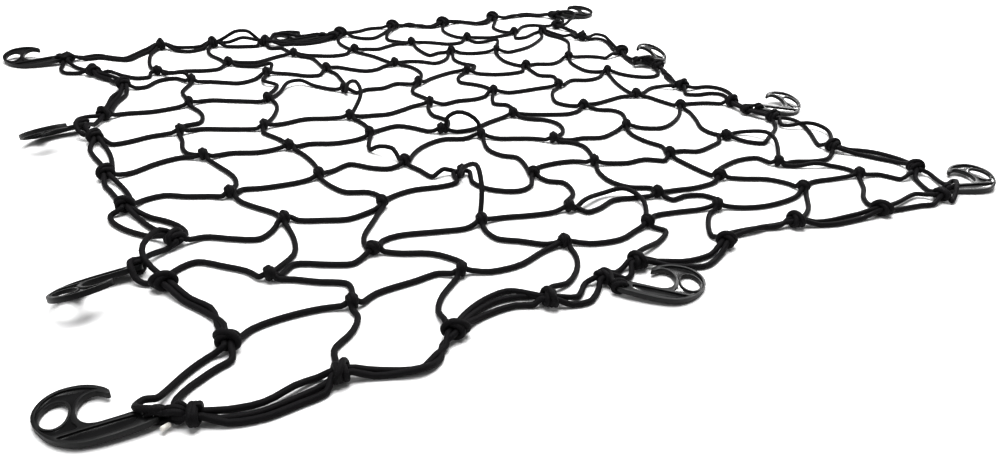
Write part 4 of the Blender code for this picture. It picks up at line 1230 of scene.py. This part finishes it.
def lay_hook(name, row):
    """A copy of the hook at its place; returns the frame of its eye."""
    turn = turned(row["heading"], "Z") @ turned(row["pitch"], "Y") @ turned(row["roll"], "X")
    mesh = hook_model.data.copy()
    mesh.name = f"moulded_{name}"
    mesh.transform(turn @ turned(180 if row["claw"] < 0 else 0, "X"))
    lowest = min(vertex.co.z for vertex in mesh.vertices)
    eye = Vector((row["eye"][0] * CM, row["eye"][1] * CM, -lowest)) + SHIFT
    mesh.transform(Matrix.Translation(eye))
    hook = bpy.data.objects.new(f"moulded_{name}", mesh)
    bpy.context.scene.collection.objects.link(hook)
    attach(hook, "root")
    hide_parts(f"hook_{name}")
    return Matrix.Translation(eye) @ turn


along_shank = [vertex.co.x for vertex in hook_model.data.vertices]
print("the hook is", round((max(along_shank) - min(along_shank)) / MM, 1), "mm long")

# %% [markdown]
# ## The lashings
# A thinner cord starts under the rim and goes over the shank's end, twice down through the eye
# and round that end, and comes back to be wound round the rim. Three hooks have no tie point,
# because the rim itself passes round them: there a short lashing only holds the shank's end.

# %% Hooks and lashings
TIE_RADIUS = 0.0026
TIE_THROUGH_EYE = (    # mm from the middle of the eye, in the hook's own directions
    (-10.5, 2.7, 3), (-5.5, 2.8, 5.4), (-0.8, 2.2, 4.8), (1.5, 1.2, 1.8), (1.6, 0.6, -1.6),
    (0, -0.4, -4.4), (-5, -1.4, -5.4), (-9.8, -2.3, -3.4), (-11, -2.7, 0), (-9.6, -2.8, 3.4),
    (-5, -2.7, 5.4), (-0.8, -2.3, 4.8), (0.9, -1.8, 1.8), (0.6, -1, -1.6), (-1.4, 1, -4.8),
    (-6, 2, -5.4))
LASH_WIDE = 7.7        # mm from the middle of the pair to the middle of the lashing, sideways
LASH_HIGH = 5          # the same, upwards
LASH_START = (1, -1, -1.5)
LASH_END = (-2, 0, -1)
LASH_OUT = (250, 60)   # degrees round the rim before the eye
LASH_BACK = 290        # degrees at which it comes back to the rim after the eye
LASH_ZERO = 300        # degrees from which its turns are counted
LASH_SIDE = (3.4, 1)   # mm along the rim: before the eye, and where the turns after it start
LASH_RUN = 4.8         # mm along the rim for each turn


def tie_line(frame, row):
    """The lashing's line, from the frame of the hook's eye."""
    through_eye = [frame @ (Vector(point) * MM) for point in TIE_THROUGH_EYE]
    if not row["tie"]:
        return smooth_line(through_eye)
    middle = stops[row["tie"]][0]
    outward = level(frame.translation - middle)
    along = Vector((-outward.y, outward.x, 0))
    if along.dot(frame.col[1].to_3d()) < 0:
        along = -along

    def place(x, y, z):
        return middle + (along * x + outward * y + UP * z) * MM

    def wound(x, angle):
        turn = math.radians(angle)
        return place(x, LASH_WIDE * math.cos(turn), LASH_HIGH * math.sin(turn))
    out = [wound(LASH_SIDE[0], angle) for angle in range(*LASH_OUT, -TURN_STEP)]
    last = math.floor(LASH_ZERO - 360 * row["turns"])
    back = [wound(LASH_SIDE[1] - LASH_RUN * (LASH_ZERO - angle) / 360, angle)
            for angle in range(LASH_BACK, last, -TURN_STEP)]
    return smooth_line([place(*LASH_START)] + out + through_eye + back + [place(*LASH_END)])


for name, row in HOOKS.items():
    eye_frame = lay_hook(name, row)
    cord_piece(f"lashing_{name}", [tie_line(eye_frame, row)], TIE_RADIUS, tie_finish,
               [f"tie_{name}"])
bpy.data.objects.remove(hook_model, do_unlink=True)
print("hooks and lashings laid:", len(HOOKS))

# %% [markdown]
# ## The cut end
# One tail of cord sticks out of the near corner. Its sheath has slipped back, so the pale rubber
# core shows. It is a short cylinder with softened rims, tipped over to lie near the surface. The
# core is a bundle of rubber strands, so its shade is mottled.

# %% Cut end
CORE_RADIUS = 0.0022
CORE_LENGTH = 0.0075
CORE_SIDES = 24
CORE_PLACE = (-48.95, -48.6, 2.4)
CORE_TURN = (-150, 84)   # degrees about Z, and over from upright
CORE_SMOOTH_TO = 40      # degrees up to which two faces are shaded as one
STRANDS = (1200, 2)      # scale and detail of the noise for the rubber strands
RUBBER_DARK = (0.55, 0.53, 0.48)
RUBBER_LIGHT = (0.9, 0.88, 0.84)

core_finish = new_finish("rubber_core", {"Roughness": 0.55})
tree = core_finish.node_tree
tint(tree, noise(tree, *STRANDS), RUBBER_DARK, RUBBER_LIGHT)
bpy.ops.object.select_all(action="DESELECT")
bpy.ops.mesh.primitive_cylinder_add(vertices=CORE_SIDES, radius=CORE_RADIUS, depth=CORE_LENGTH)
core = bpy.context.object
core.name = "cut_cord_core"
bpy.ops.object.mode_set(mode="EDIT")
bpy.ops.mesh.select_all(action="SELECT")
bpy.ops.mesh.bevel(offset=EDGE_SOFTNESS, segments=EDGE_STEPS, affect="EDGES")
bpy.ops.object.mode_set(mode="OBJECT")
bpy.ops.object.shade_smooth_by_angle(angle=math.radians(CORE_SMOOTH_TO))
place = Matrix.Translation(on_floor(CORE_PLACE, CORE_RADIUS))
core.data.transform(place @ turned(CORE_TURN[0], "Z") @ turned(CORE_TURN[1], "Y"))
core.data.materials.append(core_finish)
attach(core, "root")
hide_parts("tie_front_left")
print("cut end of", len(core.data.polygons), "faces")

# %% [markdown]
# ## Floor and light
# A white floor under one very wide overhead light: the black cords read as clean lines and cast
# only a faint shadow close to where they touch. A softbox on the left and a wide pale wall on the
# right draw thin highlights along the hooks' edges, and a small softbox on the right puts a glint
# on the nearest hook there. The Standard view keeps white white, and a gamma under 1 deepens the
# blacks.

# %% Floor
FLOOR_SIZE = 14
FLOOR_PLACE = (0, 0, -0.0004)   # just under the cords, so that nothing fights with it

bpy.ops.object.select_all(action="DESELECT")
bpy.ops.mesh.primitive_plane_add(size=FLOOR_SIZE, location=FLOOR_PLACE)
floor = bpy.context.object
floor.name = "studio_floor"
floor.data.materials.append(new_finish("studio_floor", {
    "Base Color": (0.9, 0.9, 0.9, 1), "Roughness": 0.75, "Specular IOR Level": 0.2}))
print("floor of", FLOOR_SIZE, "m")

# %% Light
LIGHTS = (  # name, place, the point it faces, width in metres, watts
    ("overhead", (0.1, 0.3, 2.6), (0, 0, 0), 2.7, 138),
    ("left_softbox", (-2.2, -0.6, 1.1), (-0.3, -0.3, 0), 0.7, 9),
    ("right_wall", (3.2, 1.4, 1.2), (0.3, 0.2, 0), 2.6, 12),
    ("spot_softbox", (2.51, 0.98, 1.23), (0.519, -0.172, 0.01), 0.55, 24),
)
WORLD_LIGHT = 0.3
VIEW_GAMMA = 0.8


def soft_light(name, place, aim, size, power):
    data = bpy.data.lights.new(name, "AREA")
    data.shape = "DISK"
    data.size = size
    data.energy = power
    lamp = bpy.data.objects.new(name, data)
    lamp.location = place
    lamp.rotation_euler = (Vector(aim) - Vector(place)).to_track_quat("-Z", "Y").to_euler()
    bpy.context.scene.collection.objects.link(lamp)


for row in LIGHTS:
    soft_light(*row)
world = bpy.data.worlds.new("studio")
world.use_nodes = True
background = world.node_tree.nodes["Background"]
background.inputs["Color"].default_value = (1, 1, 1, 1)
background.inputs["Strength"].default_value = WORLD_LIGHT
bpy.context.scene.world = world
bpy.context.scene.view_settings.view_transform = "Standard"
bpy.context.scene.view_settings.gamma = VIEW_GAMMA
print("lights:", [row[0] for row in LIGHTS])
